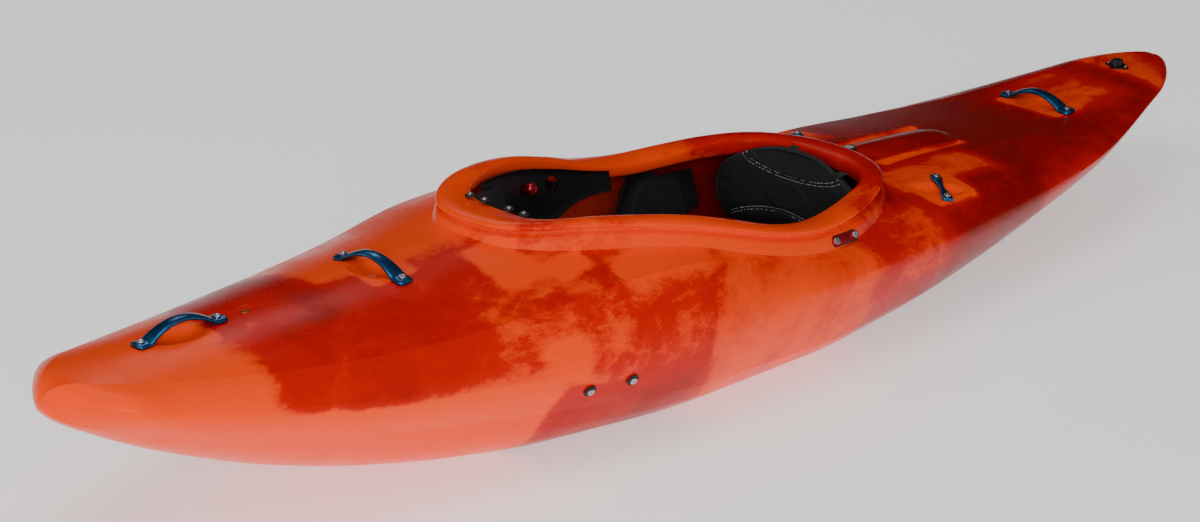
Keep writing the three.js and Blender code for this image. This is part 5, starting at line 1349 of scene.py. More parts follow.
class KAYAK_OT_rim(bpy.types.Operator):
    """Moulds the raised cockpit rim with its rolled lip and the groove below it"""
    bl_idname = "kayak.rim"
    bl_label = "Cockpit rim"
    bl_options = {"REGISTER", "UNDO"}

    def execute(self, context):
        count = RIM_SECTIONS
        rings = rim_rings(count)
        steps = rings.shape[1]
        rim = grid("cockpit_rim", count, steps, lambda row, column: rings[row % count, column % steps])
        close(rim, .001)
        subdivided(rim, 2)
        for side in (-1, 1):
            tool = plate("plate_seat", stadium(HIP_PLATE_HALF_LENGTH, HIP_GASKET_RADIUS + GAP), TOOL_DEPTH, 0)
            cut(rim, settle(tool, basis(*hip_face(side))))
            top = float(crest_height(RIM_BOLT_X))
            slot = plate("bolt_slot", stadium(SLOT_HALF_LENGTH, SLOT_RADIUS), WALL, 0)
            place = spot(RIM_BOLT_X + SLOT_BEHIND, side * rim_bolt_breadth(), top - SLOT_DEPTH)
            cut(rim, settle(slot, Matrix.Translation(place)))
        smooth(washed(rim, RIM_TONE), 50)
        keep(rim, "boat", "hull_plastic", finish("hull"), "hull_shell")
        return done()


# Handles and bars


def strap(name, centre_x, centre_y, along, spacing, length, arch, thickness, waist, pad_width):
    """An arched strap with a waist between flat pads that lie on the deck."""
    along = np.array(along, float)
    across = np.array((-along[1], along[0]))
    reach = spacing / 2 - .32 * pad_width
    corner = .2 * pad_width

    def shape(a, b, c):
        place = a * length / 2
        share = np.minimum(np.abs(place) / reach, 1)
        width = waist + (pad_width - waist) * share ** 1.6
        past = np.maximum(np.abs(place) - (length / 2 - corner), 0)
        width = width - 2 * (corner - np.sqrt(np.maximum(corner ** 2 - past ** 2, 0)))
        aside = b * width / 2
        x = centre_x + along[0] * place + across[0] * aside
        y = centre_y + along[1] * place + across[1] * aside
        middle = deck_height(centre_x + along[0] * place, centre_y + along[1] * place)
        lean = deck_height(x, y) - middle
        rear, front = [deck_height(centre_x + along[0] * end, centre_y + along[1] * end)
                       for end in (-reach, reach)]
        chord = rear + (front - rear) * (place / reach + 1) / 2
        low = np.where(share < 1, chord + arch * (1 - share ** 2), middle)
        crown = 1 - .22 * b * b * (c > 0)
        return np.column_stack([x, y, low + lean - SINK + (c + 1) / 2 * thickness * crown])

    piece = block(name, (59, 5, 0), shape)
    return smooth(rounded(piece, thickness * .26, 3, 50), 45)


class KAYAK_OT_handles(bpy.types.Operator):
    """Forms the three arched carrying handles and the two security bars"""
    bl_idname = "kayak.handles"
    bl_label = "Handles and bars"
    bl_options = {"REGISTER", "UNDO"}

    def execute(self, context):
        size = (HANDLE_SPACING, HANDLE_LENGTH, HANDLE_ARCH, HANDLE_THICKNESS, HANDLE_WAIST, HANDLE_PAD_WIDTH)
        for name, x, along in HANDLES:
            handle = strap("carrying_" + name, x, 0, along, *size)
            keep(handle, "boat", "blue_metal", finish("blue"), name)
        for name, side in SIDES:
            along = (math.cos(BAR_ANGLE), -side * math.sin(BAR_ANGLE))
            bar = strap(f"{name}_bar", BAR_X, side * BAR_Y, along, BAR_SPACING, BAR_LENGTH, 0, BAR_THICKNESS,
                        BAR_WAIST, BAR_PAD_WIDTH)
            keep(bar, "boat", "blue_metal", finish("blue"), f"{name}_security_bar")
        return done()


# Fasteners

# The washer's profile as shares of its radius and thickness.
WASHER_PROFILE = [(.42, 0), (.93, 0), (1, .14), (1, .86), (.93, 1), (.42, 1), (.42, 0)]


def screw_head():
    """One domed screw head of unit radius with a hexagonal socket, standing on height 0."""
    deselect()
    bpy.ops.mesh.primitive_cylinder_add(vertices=32, radius=1 * MM, depth=.5 * MM, location=(0, 0, .25 * MM))
    head = settle(named("screw_head"), Matrix.Identity(4))
    only(head)
    bpy.ops.object.mode_set(mode="EDIT")
    bpy.ops.mesh.select_mode(type="FACE")
    bpy.ops.mesh.select_all(action="DESELECT")
    mesh = bmesh.from_edit_mesh(head.data)
    for face in mesh.faces:
        face.select_set(face.normal.z > .9)
    bmesh.update_edit_mesh(head.data)
    bpy.ops.mesh.bevel(offset=.22 * MM, segments=4, profile=.55, affect="EDGES")
    bpy.ops.object.mode_set(mode="OBJECT")
    deselect()
    bpy.ops.mesh.primitive_cylinder_add(vertices=6, radius=.44 * MM, depth=.7 * MM, location=(0, 0, .55 * MM))
    return smooth(rounded(cut(head, named("socket")), .03, 2, 50), 30)


def handle_screws():
    """The handles' screws: each one's name, seat, axis, size and washer."""
    for name, x, along in HANDLES:
        ends = ("front", "rear") if along[0] else ("port", "starboard")
        for end, sign in zip(ends, (-1, 1)):
            px, py = [along[i] * sign * HANDLE_SPACING / 2 for i in (0, 1)]
            seat = on_deck(x + px, py, HANDLE_THICKNESS - SINK)
            yield f"{name}_screw_{end}", seat, deck_normal(x + px, py), SCREW, None


def bar_and_drain_screws(name, side):
    """One side's screws of the security bar and the drain plug, told in the same way."""
    for end, sign in (("outer", -1), ("inner", 1)):
        px = BAR_X + math.cos(BAR_ANGLE) * sign * BAR_SPACING / 2
        py = side * BAR_Y - side * math.sin(BAR_ANGLE) * sign * BAR_SPACING / 2
        seat = on_deck(px, py, BAR_THICKNESS - SINK)
        yield f"{name}_bar_screw_{end}", seat, deck_normal(px, py), SCREW, None
    normal = deck_normal(DRAIN_X, 0)
    foot = spot(DRAIN_X, side * DRAIN_SCREW_Y, float(deck_height(DRAIN_X, 0)))
    seat = foot + normal * DRAIN_SCREW_LIFT * MM
    yield f"drain_screw_{name}", seat, normal, SMALL_SCREW, None


def side_bolts(name, side):
    """One side's bolts of the rim, the brace, the hip plate and the foot rail."""
    up = Vector((0, 0, 1))
    seat = spot(RIM_BOLT_X, side * rim_bolt_breadth(), float(crest_height(RIM_BOLT_X)) + RIM_BOLT_LIFT)
    yield f"{name}_rim_bolt", seat, up, SMALL_SCREW, None
    ledge = float(crest_height(BRACE_BOLT_X)) - LEDGE_DROP + BRACE_BOLT_LIFT
    for i, y in enumerate(BRACE_BOLTS_Y):
        yield f"{name}_brace_bolt_{i + 1}", spot(BRACE_BOLT_X, side * y, ledge), up, LEDGE_BOLT, LEDGE_WASHER
    face, outward = hip_face(side)
    for i, end in enumerate((-1, 1)):
        seat = face + outward * HIP_BOLT_LIFT * MM + Vector((end * HIP_BOLT_REACH * MM, 0, 0))
        yield f"{name}_hip_bolt_{i + 1}", seat, outward, SCREW, None
    for i, x in enumerate(FOOT_BOLTS_X):
        slope = (side_breadth(x, FOOT_BOLT_Z + WALL) - side_breadth(x, FOOT_BOLT_Z - WALL)) / (2 * WALL)
        taper = (side_breadth(x + WALL, FOOT_BOLT_Z) - side_breadth(x - WALL, FOOT_BOLT_Z)) / (2 * WALL)
        axis = Vector((-taper, side, -slope)).normalized()
        seat = spot(x, side * side_breadth(x, FOOT_BOLT_Z), FOOT_BOLT_Z) + axis * SINK * MM
        yield f"{name}_foot_bolt_{i + 1}", seat, axis, SCREW, FOOT_WASHER


class KAYAK_OT_screws(bpy.types.Operator):
    """Models one screw head and one washer and sets a copy of them in every seat"""
    bl_idname = "kayak.screws"
    bl_label = "Screws and washers"
    bl_options = {"REGISTER", "UNDO"}

    def execute(self, context):
        head = screw_head()
        ring = turned("washer", WASHER_PROFILE, 36)
        smooth(ring, 40)
        seats = list(handle_screws())
        for side in SIDES:
            seats += [*bar_and_drain_screws(*side), *side_bolts(*side)]
        for name, seat, axis, (radius, height), washer in seats:
            across = (0, 0, 1) if abs(axis.x) > .9 else (1, 0, 0)
            lift = washer[1] if washer else 0
            place = basis(seat + axis * lift * MM, axis, across)
            piece = copy_piece(head, name + "_head", place @ Matrix.Diagonal((radius, radius, height * 2, 1)))
            keep(piece, "boat", "stainless", finish("steel"), name)
            if washer:
                size = Matrix.Diagonal((washer[0], *washer, 1))
                disc = copy_piece(ring, name + "_washer", basis(seat, axis, across) @ size)
                keep(disc, "boat", "rubber", finish("rubber"), name)
        bpy.data.objects.remove(head)
        bpy.data.objects.remove(ring)
        return done()


# Drain plug, cap and insert

# Profiles as radius and height, from the foot.
BUNG_PROFILE = [(0, 0), (12.4, 0), (13, .8), (13, 2.4), (11.9, 3.4), (11.8, 8.8), (10.6, 10.9), (7, 12.4),
                (4.4, 12.6), (3.6, 11.6), (0, 11.4)]
CAP_PROFILE = [(0, 0), (13.4, 0), (14, .7), (14, 3), (12.6, 4.8), (11.6, 6), (10.6, 6), (10, 5.2), (0, 5.2)]
CAP_FACE_PROFILE = [(0, 5), (9.7, 5), (9.7, 5.6), (0, 6.0)]
INSERT_PROFILE = [(2.9, -1.6), (2.9, .3), (3.5, .7), (6.4, .7), (7, .3), (7, -2), (0, -2), (0, -1.6),
                  (2.9, -1.6)]


class KAYAK_OT_deck_fittings(bpy.types.Operator):
    """Models the drain plug, the rear deck cap and the brass insert"""
    bl_idname = "kayak.deck_fittings"
    bl_label = "Drain plug, cap and insert"
    bl_options = {"REGISTER", "UNDO"}

    def execute(self, context):
        normal = deck_normal(DRAIN_X, 0)
        base = on_deck(DRAIN_X, 0)
        edge = [(-y, x) for x, y in stadium(DRAIN_SCREW_Y, DRAIN_EAR_RADIUS)]
        ears = plate("ears", edge, DRAIN_FLANGE_THICKNESS, 0)
        corners = [(0, 0), (DRAIN_FLANGE_RADIUS, 0), (DRAIN_FLANGE_RADIUS, DRAIN_FLANGE_THICKNESS),
                   (0, DRAIN_FLANGE_THICKNESS)]
        disc = turned("disc", corners, 48)
        flange = rounded(cut(disc, ears, "UNION"), .8, 3)
        flange.name = flange.data.name = "drain_flange"
        smooth(settle(flange, basis(base - normal * DRAIN_FLANGE_SINK * MM, normal)))
        keep(flange, "boat", "black_plastic", finish("black"), "drain_plug_flange")

        def grip(radius, turn, height):
            lobes = np.where((height > 2) & (radius > 5), .09 * np.cos(8 * turn) - .05, 0)
            return radius * (1 + lobes)

        bung = turned("drain_bung_grip", BUNG_PROFILE, 64, grip)
        smooth(settle(bung, basis(base + normal * BUNG_LIFT * MM, normal)), 40)
        keep(bung, "drain_bung", "black_plastic", finish("black"), "drain_plug_bung")
        seat = Matrix.Translation(on_deck(CAP_X, 0, SPINE_RISE * .9))
        cap = smooth(settle(turned("deck_cap", CAP_PROFILE, 48), seat))
        keep(cap, "boat", "black_plastic", finish("black"), "rear_deck_cap")
        face = smooth(settle(turned("cap_face", CAP_FACE_PROFILE, 48), seat))
        keep(face, "boat", "stainless", finish("silver"), "rear_deck_cap")
        ring = turned("brass_insert", INSERT_PROFILE, 40)
        smooth(settle(ring, basis(on_deck(INSERT_X, 0), deck_normal(INSERT_X, 0))))
        keep(ring, "boat", "brass", finish("brass"), "deck_insert")
        return done()


# Thigh braces


def brace_line():
    """Where the knob's face meets the brace, back and front, the knob's axis and the way the brace slides."""
    run = float(mouth_breadth(BRACE_REAR_X)) - float(mouth_breadth(BRACE_FRONT_X))
    slide = Vector((BRACE_REAR_X - BRACE_FRONT_X, run, 0)).normalized()
    back, front = [Vector(in_frame(brace_point(KNOB_X, KNOB_DROP, inboard)).tolist())
                   for inboard in (0, BRACE_THICKNESS)]
    axis = front - back
    return back, front, (axis - slide * axis.dot(slide)).normalized(), slide


def brace_shape(a, b, c):
    """The brace blade, with a flange along its upper and lower edge."""
    x = BRACE_FRONT_X + (a + 1) / 2 * (BRACE_REAR_X - BRACE_FRONT_X)
    flange = BRACE_FLANGE * np.maximum(np.abs(b) - .82, 0) / .18 * (1 - a ** 8)
    inboard = np.where(c > 0, BRACE_THICKNESS + flange, 4 * GAP)
    return brace_point(x, (b + 1) / 2 * brace_depth(x), inboard)


def tongue():
    """The flat front end of a brace that its two bolts hold under the rim's ledge."""
    rear = BRACE_FRONT_X + TONGUE_OVERLAP
    outer_rear = float(mouth_breadth(rear)) - (BRACE_CLEARANCE + GAP)
    outer_front = float(mouth_breadth(BRACE_FRONT_X)) * .72

    def bend(*corners):
        p, q, r = [np.array(corner) for corner in corners]
        return [tuple(bulge(p, q, r, t)) for t in np.linspace(0, 1, 10)[1:]]

    edge = [(TONGUE_FRONT_X, TONGUE_INNER_Y), (TONGUE_FRONT_X + TONGUE_STRAIGHT, TONGUE_INNER_Y)]
    edge += bend(edge[-1], (1004, outer_front / 2), (rear, outer_rear - 20))
    edge += [(rear, outer_rear - 2.5), (BRACE_FRONT_X, float(mouth_breadth(BRACE_FRONT_X)) - BRACE_CLEARANCE)]
    edge += bend(edge[-1], (980, outer_front), (TONGUE_FRONT_X, outer_front * .9))
    shelf = float(crest_height(BRACE_BOLT_X)) - LEDGE_DROP - RIM_GROOVE - (BRACE_THICKNESS + GAP)
    piece = plate("tongue", [(x - HALF_LENGTH, y) for x, y in edge], BRACE_THICKNESS, .8)
    return settle(piece, Matrix.Translation((0, 0, shelf * MM)))


def hole_edge():
    """The brace's rounded triangular hole."""
    edge = []
    for t in np.linspace(0, 2 * math.pi, 40, endpoint=False):
        radius = 16 + .5 * math.cos(5 * t) + 1.8 * math.cos(t)
        edge.append((1.25 * radius * math.cos(t) - (2.5 if math.cos(t) < 0 else 0), radius * math.sin(t)))
    return edge


def knob_ribs(radius, turn, height):
    """Six ribs for the fingers round the knob."""
    return radius * (1 + np.where(radius > 6.2, .075 * np.cos(6 * turn) - .045, 0))


KNOB_PROFILE = [(0, 0), (12, 0), (12, 10.5), (11.4, 13.2), (9.6, 15), (6.6, 15), (6, 14), (0, 13.6)]


class KAYAK_OT_braces(bpy.types.Operator):
    """Moulds the two thigh braces with their mounts and knobs"""
    bl_idname = "kayak.braces"
    bl_label = "Thigh braces"
    bl_options = {"REGISTER", "UNDO"}

    def execute(self, context):
        back, front, axis, slide = brace_line()
        brace = rounded(block("starboard_brace", (71, 19, 0), brace_shape), 1.6, 3, 50)
        foot = tongue()
        centre = Vector(in_frame(brace_point(HOLE_X, HOLE_DROP, 0.0)).tolist())
        start = centre - axis * TOOL_DEPTH / 2 * MM
        cut(brace, settle(plate("hole", hole_edge(), TOOL_DEPTH, 0), basis(start, axis, slide)))
        well = plate("well", stadium(WELL_HALF_LENGTH, WELL_RADIUS), TOOL_DEPTH, 0)
        cut(brace, settle(well, basis(back + axis * (BRACE_THICKNESS - WELL_DEPTH) * MM, axis, slide)))
        piece = smooth(joined("starboard_brace_wing", brace, foot), 40)
        other = mirrored(piece, "port_brace_wing")
        knob = turned("starboard_knob_grip", KNOB_PROFILE, 72, knob_ribs)
        smooth(settle(knob, basis(front + axis * SINK * MM, axis, (1, 0, 0))), 40)
        other_knob = mirrored(knob, "port_knob_grip")
        for name, wing, grip in (("starboard", piece, knob), ("port", other, other_knob)):
            keep(wing, f"{name}_brace", "black_plastic", finish("black"), f"{name}_thigh_brace")
            keep(grip, f"{name}_knob", "red_metal", finish("red"), f"{name}_brace_knob")
            mount = from_solid(f"{name}_mount", f"{name}_brace_mount")
            keep(mount, "boat", "black_plastic", finish("black"), f"{name}_brace_mount")
        return done()


# Hip plates


class KAYAK_OT_hip_plates(bpy.types.Operator):
    """Cuts the red hip plates and their gaskets and sets them on the rim"""
    bl_idname = "kayak.hip_plates"
    bl_label = "Hip plates"
    bl_options = {"REGISTER", "UNDO"}

    def execute(self, context):
        edge, seal_edge = [stadium(HIP_PLATE_HALF_LENGTH, radius, 14)
                           for radius in (HIP_PLATE_RADIUS, HIP_GASKET_RADIUS)]
        red = smooth(plate("hip_plate", edge, HIP_PLATE_THICKNESS, .9), 35)
        seal = smooth(plate("hip_gasket", seal_edge, HIP_GASKET_THICKNESS, .5), 35)
        for name, side in SIDES:
            face, outward = hip_face(side)
            for source, lift, slot, look in ((red, HIP_PLATE_LIFT, "red_metal", "red"),
                                             (seal, SINK, "rubber", "rubber")):
                place = basis(face + outward * lift * MM, outward)
                piece = copy_piece(source, f"{name}_{source.name}_cover", place)
                keep(piece, "boat", slot, finish(look), f"{name}_{source.name}")
        bpy.data.objects.remove(red)
        bpy.data.objects.remove(seal)
        return done()


# Seat, hip pads and leg lifter


def cushion(a, b):
    """A cushion's fullness over its shares along and across: 1 in the middle, 0 at the edge."""
    return np.sqrt(np.maximum((1 - a ** 6) * (1 - b ** 6), 0))


def pan_shape(a, b, c):
    """The seat pan, a bent sheet of even thickness."""
    x = PAN_FRONT_X + (a + 1) / 2 * (SEAT_REAR_X - PAN_FRONT_X)
    return seat_point(x, b, SEAT_PLY * (c + 1) / 2)


def seat_shell():
    """The pan with the two ears that carry the backrest's bar."""
    pan = rounded(block("seat_shell", (47, 63, 0), pan_shape), 1.2, 3, 50)
    turns = np.linspace(math.pi, -math.pi / 4, 18)
    edge = [(BACK_FOOT_X + EAR_RADIUS * math.cos(t), HINGE_Z + EAR_RADIUS * math.sin(t)) for t in turns]
    edge += [(SEAT_REAR_X - SEAT_PLY, SEAT_FLOOR + 1), (SEAT_REAR_X - 22, SEAT_FLOOR + 1)]
    ears = []
    for side in (-1, 1):
        ear = plate("ear", [(x - HALF_LENGTH, z) for x, z in reversed(edge)], SEAT_PLY, .8)
        ears.append(settle(ear, upright(side * EAR_Y + SEAT_PLY / 2)))
    shell = smooth(joined("seat_shell", pan, *ears), 40)
    keep(shell, "boat", "black_plastic", finish("black"), "seat_pan")


def seat_pad_shape(a, b, c):
    """The seat cushion, with a groove at each side and a dip under the thighs."""
    front, rear = SEAT_FRONT_X + 2 * SEAT_PLY, SEAT_REAR_X - 6 * SEAT_PLY
    x = front + (a + 1) / 2 * (rear - front)
    low = seat_point(x, b * .5 * (1 - .06 * a * a), SEAT_PLY + .4)
    groove = np.exp(-((np.abs(b) - .5) / .05) ** 2) * .2 * (1 - a ** 4)
    dip = .3 * (1 - (2 * b * b - 1) ** 2)
    rise = SEAT_PAD_THICKNESS * (.26 + cushion(a, b) * (.66 - groove - .3 * dip)) - SEAT_PLY / 2
    low[:, 2] += rise * (c + 1) / 2
    return low


def seat_cover():
    """The filled cushion on the seat pan."""
    pad = block("seat_cover", (35, 47, 2), seat_pad_shape)
    points = points_of(pad)
    floor = in_frame(seat_point(points[:, 0] / MM + HALF_LENGTH, 0, SEAT_PLY))[:, 2]
    inflated(pad, points[:, 2] - floor < 4 * MM, 4, 5)
    smooth(subdivided(rounded(pad, 2, 2, 60)), 70)
    keep(pad or pad, "boat", "cloth", finish("woven"), "seat_pad")


def lifter_shape(a, b, c):
    """The leg lifter, a wedge in front of the cushion."""
    x = PAN_FRONT_X + SEAT_PLY + (a + 1) / 2 * (SEAT_FRONT_X - PAN_FRONT_X - SEAT_PLY)
    low = seat_point(x, b * .42, SEAT_PLY + .4)
    top = SEAT_FLOOR + SEAT_PLY + SEAT_PAD_THICKNESS * (.35 + cushion(a, b) * (.72 - .25 * a))
    low[:, 2] += (np.maximum(top - low[:, 2], 2)) * (c + 1) / 2
    return low


def hip_shape(a, b, c):
    """The starboard hip pad, which thins toward its rear end and leaves room for the backrest."""
    front, rear = SEAT_FRONT_X + 4 * SEAT_PLY, SEAT_REAR_X + 5 * SEAT_PLY
    x = front + (a + 1) / 2 * (rear - front)
    step = np.where(b > .2, .06, 0)
    thin = np.clip((x - HIP_PLATE_X - 52) / 34, 0, 1)
    thick = HIP_PAD_THICKNESS * (1 - .62 * thin)
    deep = SEAT_PLY + GAP + (c + 1) / 2 * thick * (.3 + (.68 - step) * cushion(a, b))
    girth = .78 + .08 * thin + (.2 - .08 * thin) * b * (1 - .2 * a * a)
    side = seat_point(np.minimum(x, HIP_PLATE_X + HIP_PAD_THICKNESS), girth, deep)
    return np.column_stack([x, side[:, 1:]])


class KAYAK_OT_seat(bpy.types.Operator):
    """Moulds the seat pan and pads it with the seat cover, the leg lifter and the hip pads"""
    bl_idname = "kayak.seat"
    bl_label = "Seat"
    bl_options = {"REGISTER", "UNDO"}

    def execute(self, context):
        seat_shell()
        seat_cover()
        lifter = rounded(block("leg_lifter_pad", (17, 29, 1), lifter_shape), 2, 3, 50)
        smooth(subdivided(lifter), 60)
        keep(lifter or lifter, "leg_lifter", "foam", finish("foam"), "leg_lifter")
        pad = rounded(block("starboard_hip_foam", (23, 19, 2), hip_shape), 2.4, 3, 50)
        smooth(subdivided(pad), 60)
        for name, piece in (("starboard", pad), ("port", mirrored(pad, "port_hip_foam"))):
            keep(piece or piece, "boat", "foam", finish("foam"), f"{name}_hip_pad")
        return done()


# Backrest


OVAL_RIDGE = 2.6
OVAL_RISE = 1.2
SEAM_DEPTH = 3.4
# How far the stitches of each seam reach across, and how far each row lies from its seam.
STITCH_REACH = {"upper": .96, "lower": .8}
STITCH_OFFSETS = (.032, -.032)


def upper_seam(a):
    """How far up the backrest's upper seam runs, from -1 to 1, at a share across."""
    return .47 + .46 * a * a


def lower_seam(a):
    """The same for the backrest's lower seam."""
    return -.25 - .75 * a * a


def back_relief(a, b):
    """How the cover's sewn seams, its raised oval and its lumbar swelling change its thickness."""
    upper = np.exp(-((b - upper_seam(a)) / .035) ** 2)
    lower = np.exp(-((b - lower_seam(a)) / .035) ** 2)
    oval = (a / .25) ** 2 + ((b - .09) / .25) ** 2
    ridge = np.exp(-((oval - 1) / .2) ** 2)
    inside = 1 / (1 + np.exp((oval - .9) * 9))
    return OVAL_RIDGE * ridge + OVAL_RISE * inside - SEAM_DEPTH * upper - SEAM_DEPTH * lower


def shell_shape(a, b, c):
    """The backrest's shell, a little smaller than its cover."""
    return back_point(a * .94, b * .92, -4 * (c + 1) / 2)


def backrest_shell():
    """The moulded shell with its hinge bar and the lug between them."""
    shell = rounded(block("backrest_plate", (39, 19, 0), shell_shape), 1.2, 3, 50)
    end = EAR_Y + 5
    bar = turned("bar", [(0, -end), (4.4, -end), (5, .8 - end), (5, end - .8), (4.4, end), (0, end)], 32)
    settle(bar, Matrix.Translation(spot(BACK_FOOT_X, 0, HINGE_Z)) @ Matrix.Rotation(math.pi / 2, 4, "X"))
    lean = math.tan(BACK_RAKE)
    edge = [(1, 0), (5, 0), (3 + 34 * lean, 44), (34 * lean, 44), (1, 10)]
    lug = plate("lug", [(x + BACK_FOOT_X - HALF_LENGTH, z + HINGE_Z) for x, z in edge], EAR_Y, .6)
    settle(lug, upright(EAR_Y / 2))
    piece = smooth(joined("backrest_plate", shell, bar, lug), 40)
    keep(piece, "backrest", "black_plastic", finish("black"), "backrest_shell")


def back_pad_shape(a, b, c):
    """The backrest's cushion, thickest at the small of the back."""
    edge = np.sqrt(np.maximum((1 - a ** 8) * (1 - b ** 8), 0))
    lumbar = .22 * np.exp(-((b + .3) ** 2) / .2) * (1 - a * a)
    thickness = BACK_PAD_THICKNESS * (.3 + edge * (.42 + lumbar))
    return back_point(a, b, 1.5 + thickness * (c + 1) / 2)


def backrest_cover():
    """The filled and sewn cover; gives back its face's points and their shares across and up."""
    cover = block("backrest_cover", (51, 71, 3), None)
    a, b, c = points_of(cover).T
    set_points(cover, in_frame(back_pad_shape(a, b, c)))
    inflated(faced_out(cover), c < .4, 4, 6)
    points = points_of(cover)
    points[:, 0] -= back_relief(a, b) * np.clip(c, 0, 1) * MM
    set_points(cover, points)
    smooth(subdivided(cover), 75)
    keep(cover or cover, "backrest", "cloth", finish("woven"), "backrest_pad")
    face = c > .99
    return points[face], np.column_stack([a[face], b[face]])


def on_cover(face, shares, a, b, lift):
    """A point on the filled cover's face, in millimetres from the bow."""
    near = np.argmin((shares[:, 0] - a) ** 2 + (shares[:, 1] - b) ** 2)
    place = back_point(np.array(a), np.array(b), 0.0)
    flat = back_point(np.array(shares[near, 0]), np.array(shares[near, 1]), 0.0)
    depth = flat[0] - face[near, 0] / MM - HALF_LENGTH
    return np.array([place[0] - depth - lift, place[1], place[2]])


def backrest_piping(radius):
    """The two cords sewn round the cover, at its front and at its rear."""
    ring = []
    for t in np.linspace(0, 2 * math.pi, 160, endpoint=False):
        ring.append([math.copysign(abs(way) ** .32, way) * .985 for way in (math.cos(t), math.sin(t))])
    for name, wide, high, depth in (("backrest_piping_front", 1.0, 1.0, 1.5 + BACK_PAD_THICKNESS * .33),
                                    ("backrest_piping_rear", 1.006, 1.01, 3.4)):
        path = [back_point(np.array(a * wide), np.array(b * high), depth) for a, b in ring]
        keep(tube(name, path, radius, 10), "backrest", "cloth", finish("rubber"), "backrest_pad")


def stitch_row(cover, line, end, offset, pitch):
    """Places and directions of the stitches beside one seam, as far apart as the pitch."""
    run, last = 0, None
    for a in np.linspace(-end, end, 700):
        b = float(line(a)) + offset
        if abs(b) > .93:
            last = None
            continue
        here = on_cover(*cover, a, b, .15)
        if last is not None:
            run += np.linalg.norm(here - last)
            if run >= pitch:
                run = 0
                yield here, Vector(here - last).normalized()
        last = here


def backrest_stitches(cover, length, pitch):
    """Two rows of white stitches beside each seam."""
    needle = turned("needle", [(0, -1), (.5, -.8), (.5, .8), (0, 1)], 6)
    size = Matrix.Diagonal((.9, .9, length / 2, 1))
    stitches = []
    for line, end in ((upper_seam, STITCH_REACH["upper"]), (lower_seam, STITCH_REACH["lower"])):
        for offset in STITCH_OFFSETS:
            for here, way in stitch_row(cover, line, end, offset, pitch):
                stitches.append(copy_piece(needle, "stitch", basis(spot(*here), way, (0, 0, 1)) @ size))
    bpy.data.objects.remove(needle)
    keep(smooth(joined("backrest_stitches", *stitches), 60), "backrest", "cloth", finish("thread"))


def strap_end(name, across, lean, rise):
    """A short end of webbing that leaves the backrest's top edge."""
    foot = back_point(np.array(across), np.array(.97), 8.0)

    def shape(a, b, c):
        up = (a + 1) / 2
        x = foot[0] + 16 * up - 1.1 * c + 3 * up * up
        z = foot[2] - 4 + rise * up * (2 - up) + .6 * c * up
        return np.column_stack([x, foot[1] + lean * up + STRAP_HALF_WIDTH * b, z])

    tab = smooth(rounded(block(name, (11, 3, 0), shape), .5, 2, 50), 40)
    keep(tab, "backrest", "cloth", finish("webbing"))


class KAYAK_OT_backrest(bpy.types.Operator):
    """Shapes the backrest's shell and its sewn cover with piping, stitches and strap ends"""
    bl_idname = "kayak.backrest"
    bl_label = "Backrest"
    bl_options = {"REGISTER", "UNDO"}

    def execute(self, context):
        sizes = context.scene.kayak_sizes
        backrest_shell()
        cover = backrest_cover()
        backrest_piping(sizes.piping / MM)
        backrest_stitches(cover, sizes.stitch / MM, sizes.stitch_pitch / MM)
        strap_end("backrest_strap_middle", .17, 2, 9)
        strap_end("backrest_strap_port", -.93, -6, 6)
        return done()


# Footrest and pillars


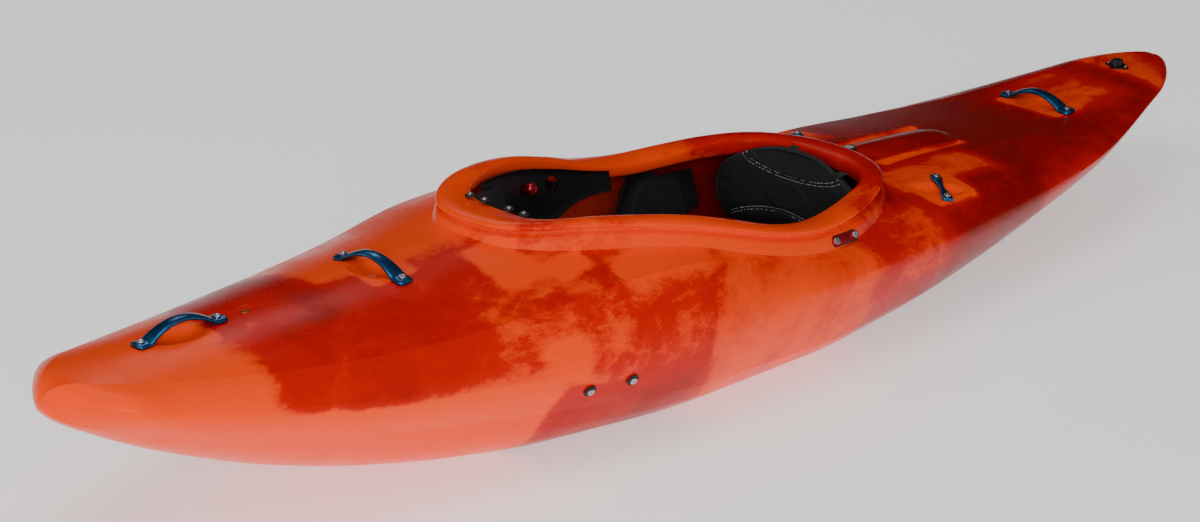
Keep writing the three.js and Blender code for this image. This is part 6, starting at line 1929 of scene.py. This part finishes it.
class KAYAK_OT_footrest(bpy.types.Operator):
    """Finishes the footrest's plate, its foam pad and the two rails"""
    bl_idname = "kayak.footrest"
    bl_label = "Footrest"
    bl_options = {"REGISTER", "UNDO"}

    def execute(self, context):
        board = from_solid("footrest_board", "footrest_plate", 1.2)
        keep(board, "footrest", "black_plastic", finish("black"), "footrest_plate")
        pad = from_solid("footrest_foam", "footrest_pad", 3, 3)
        keep(pad or pad, "footrest", "foam", finish("foam"), "footrest_pad")
        for name in ("port", "starboard"):
            rail = from_solid(f"{name}_rail", f"{name}_foot_rail", .6)
            keep(rail, "boat", "aluminium", finish("aluminium"), f"{name}_foot_rail")
        return done()


class KAYAK_OT_pillars(bpy.types.Operator):
    """Finishes the foam pillars under the decks"""
    bl_idname = "kayak.pillars"
    bl_label = "Foam pillars"
    bl_options = {"REGISTER", "UNDO"}

    def execute(self, context):
        for name in ("fore_pillar", "aft_pillar"):
            pillar = from_solid(name + "_foam", name, 2, 2)
            keep(pillar or pillar, "boat", "foam", finish("foam"), name)
        return done()


# Panel and start

operators = (
    KAYAK_OT_stage, KAYAK_OT_hull, KAYAK_OT_rim, KAYAK_OT_handles, KAYAK_OT_screws,
    KAYAK_OT_deck_fittings, KAYAK_OT_braces, KAYAK_OT_hip_plates, KAYAK_OT_seat, KAYAK_OT_backrest,
    KAYAK_OT_footrest, KAYAK_OT_pillars,
)


class KAYAK_PT_build(bpy.types.Panel):
    """Lists the kayak's pieces with their sizes and colours"""
    bl_idname = "KAYAK_PT_build"
    bl_label = "Kayak"
    bl_space_type = "VIEW_3D"
    bl_region_type = "UI"
    bl_category = "Kayak"

    def draw(self, context):
        for group in (context.scene.kayak_sizes, context.scene.kayak_colours):
            for name in group.__annotations__:
                self.layout.prop(group, name)
        for operator in operators:
            self.layout.operator(operator.bl_idname)


classes = (KayakSizes, KayakColours, *operators, KAYAK_PT_build)


def register():
    for item in classes:
        bpy.utils.register_class(item)
    bpy.types.Scene.kayak_sizes = bpy.props.PointerProperty(type=KayakSizes)
    bpy.types.Scene.kayak_colours = bpy.props.PointerProperty(type=KayakColours)


def unregister():
    del bpy.types.Scene.kayak_colours
    del bpy.types.Scene.kayak_sizes
    for item in reversed(classes):
        bpy.utils.unregister_class(item)


def main():
    """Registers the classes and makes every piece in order."""
    register()
    for operator in operators:
        group, name = operator.bl_idname.split(".")
        if getattr(getattr(bpy.ops, group), name)() != {"FINISHED"}:
            raise RuntimeError(f"{operator.bl_label} was not finished")


if __name__ == "__main__":
    main()
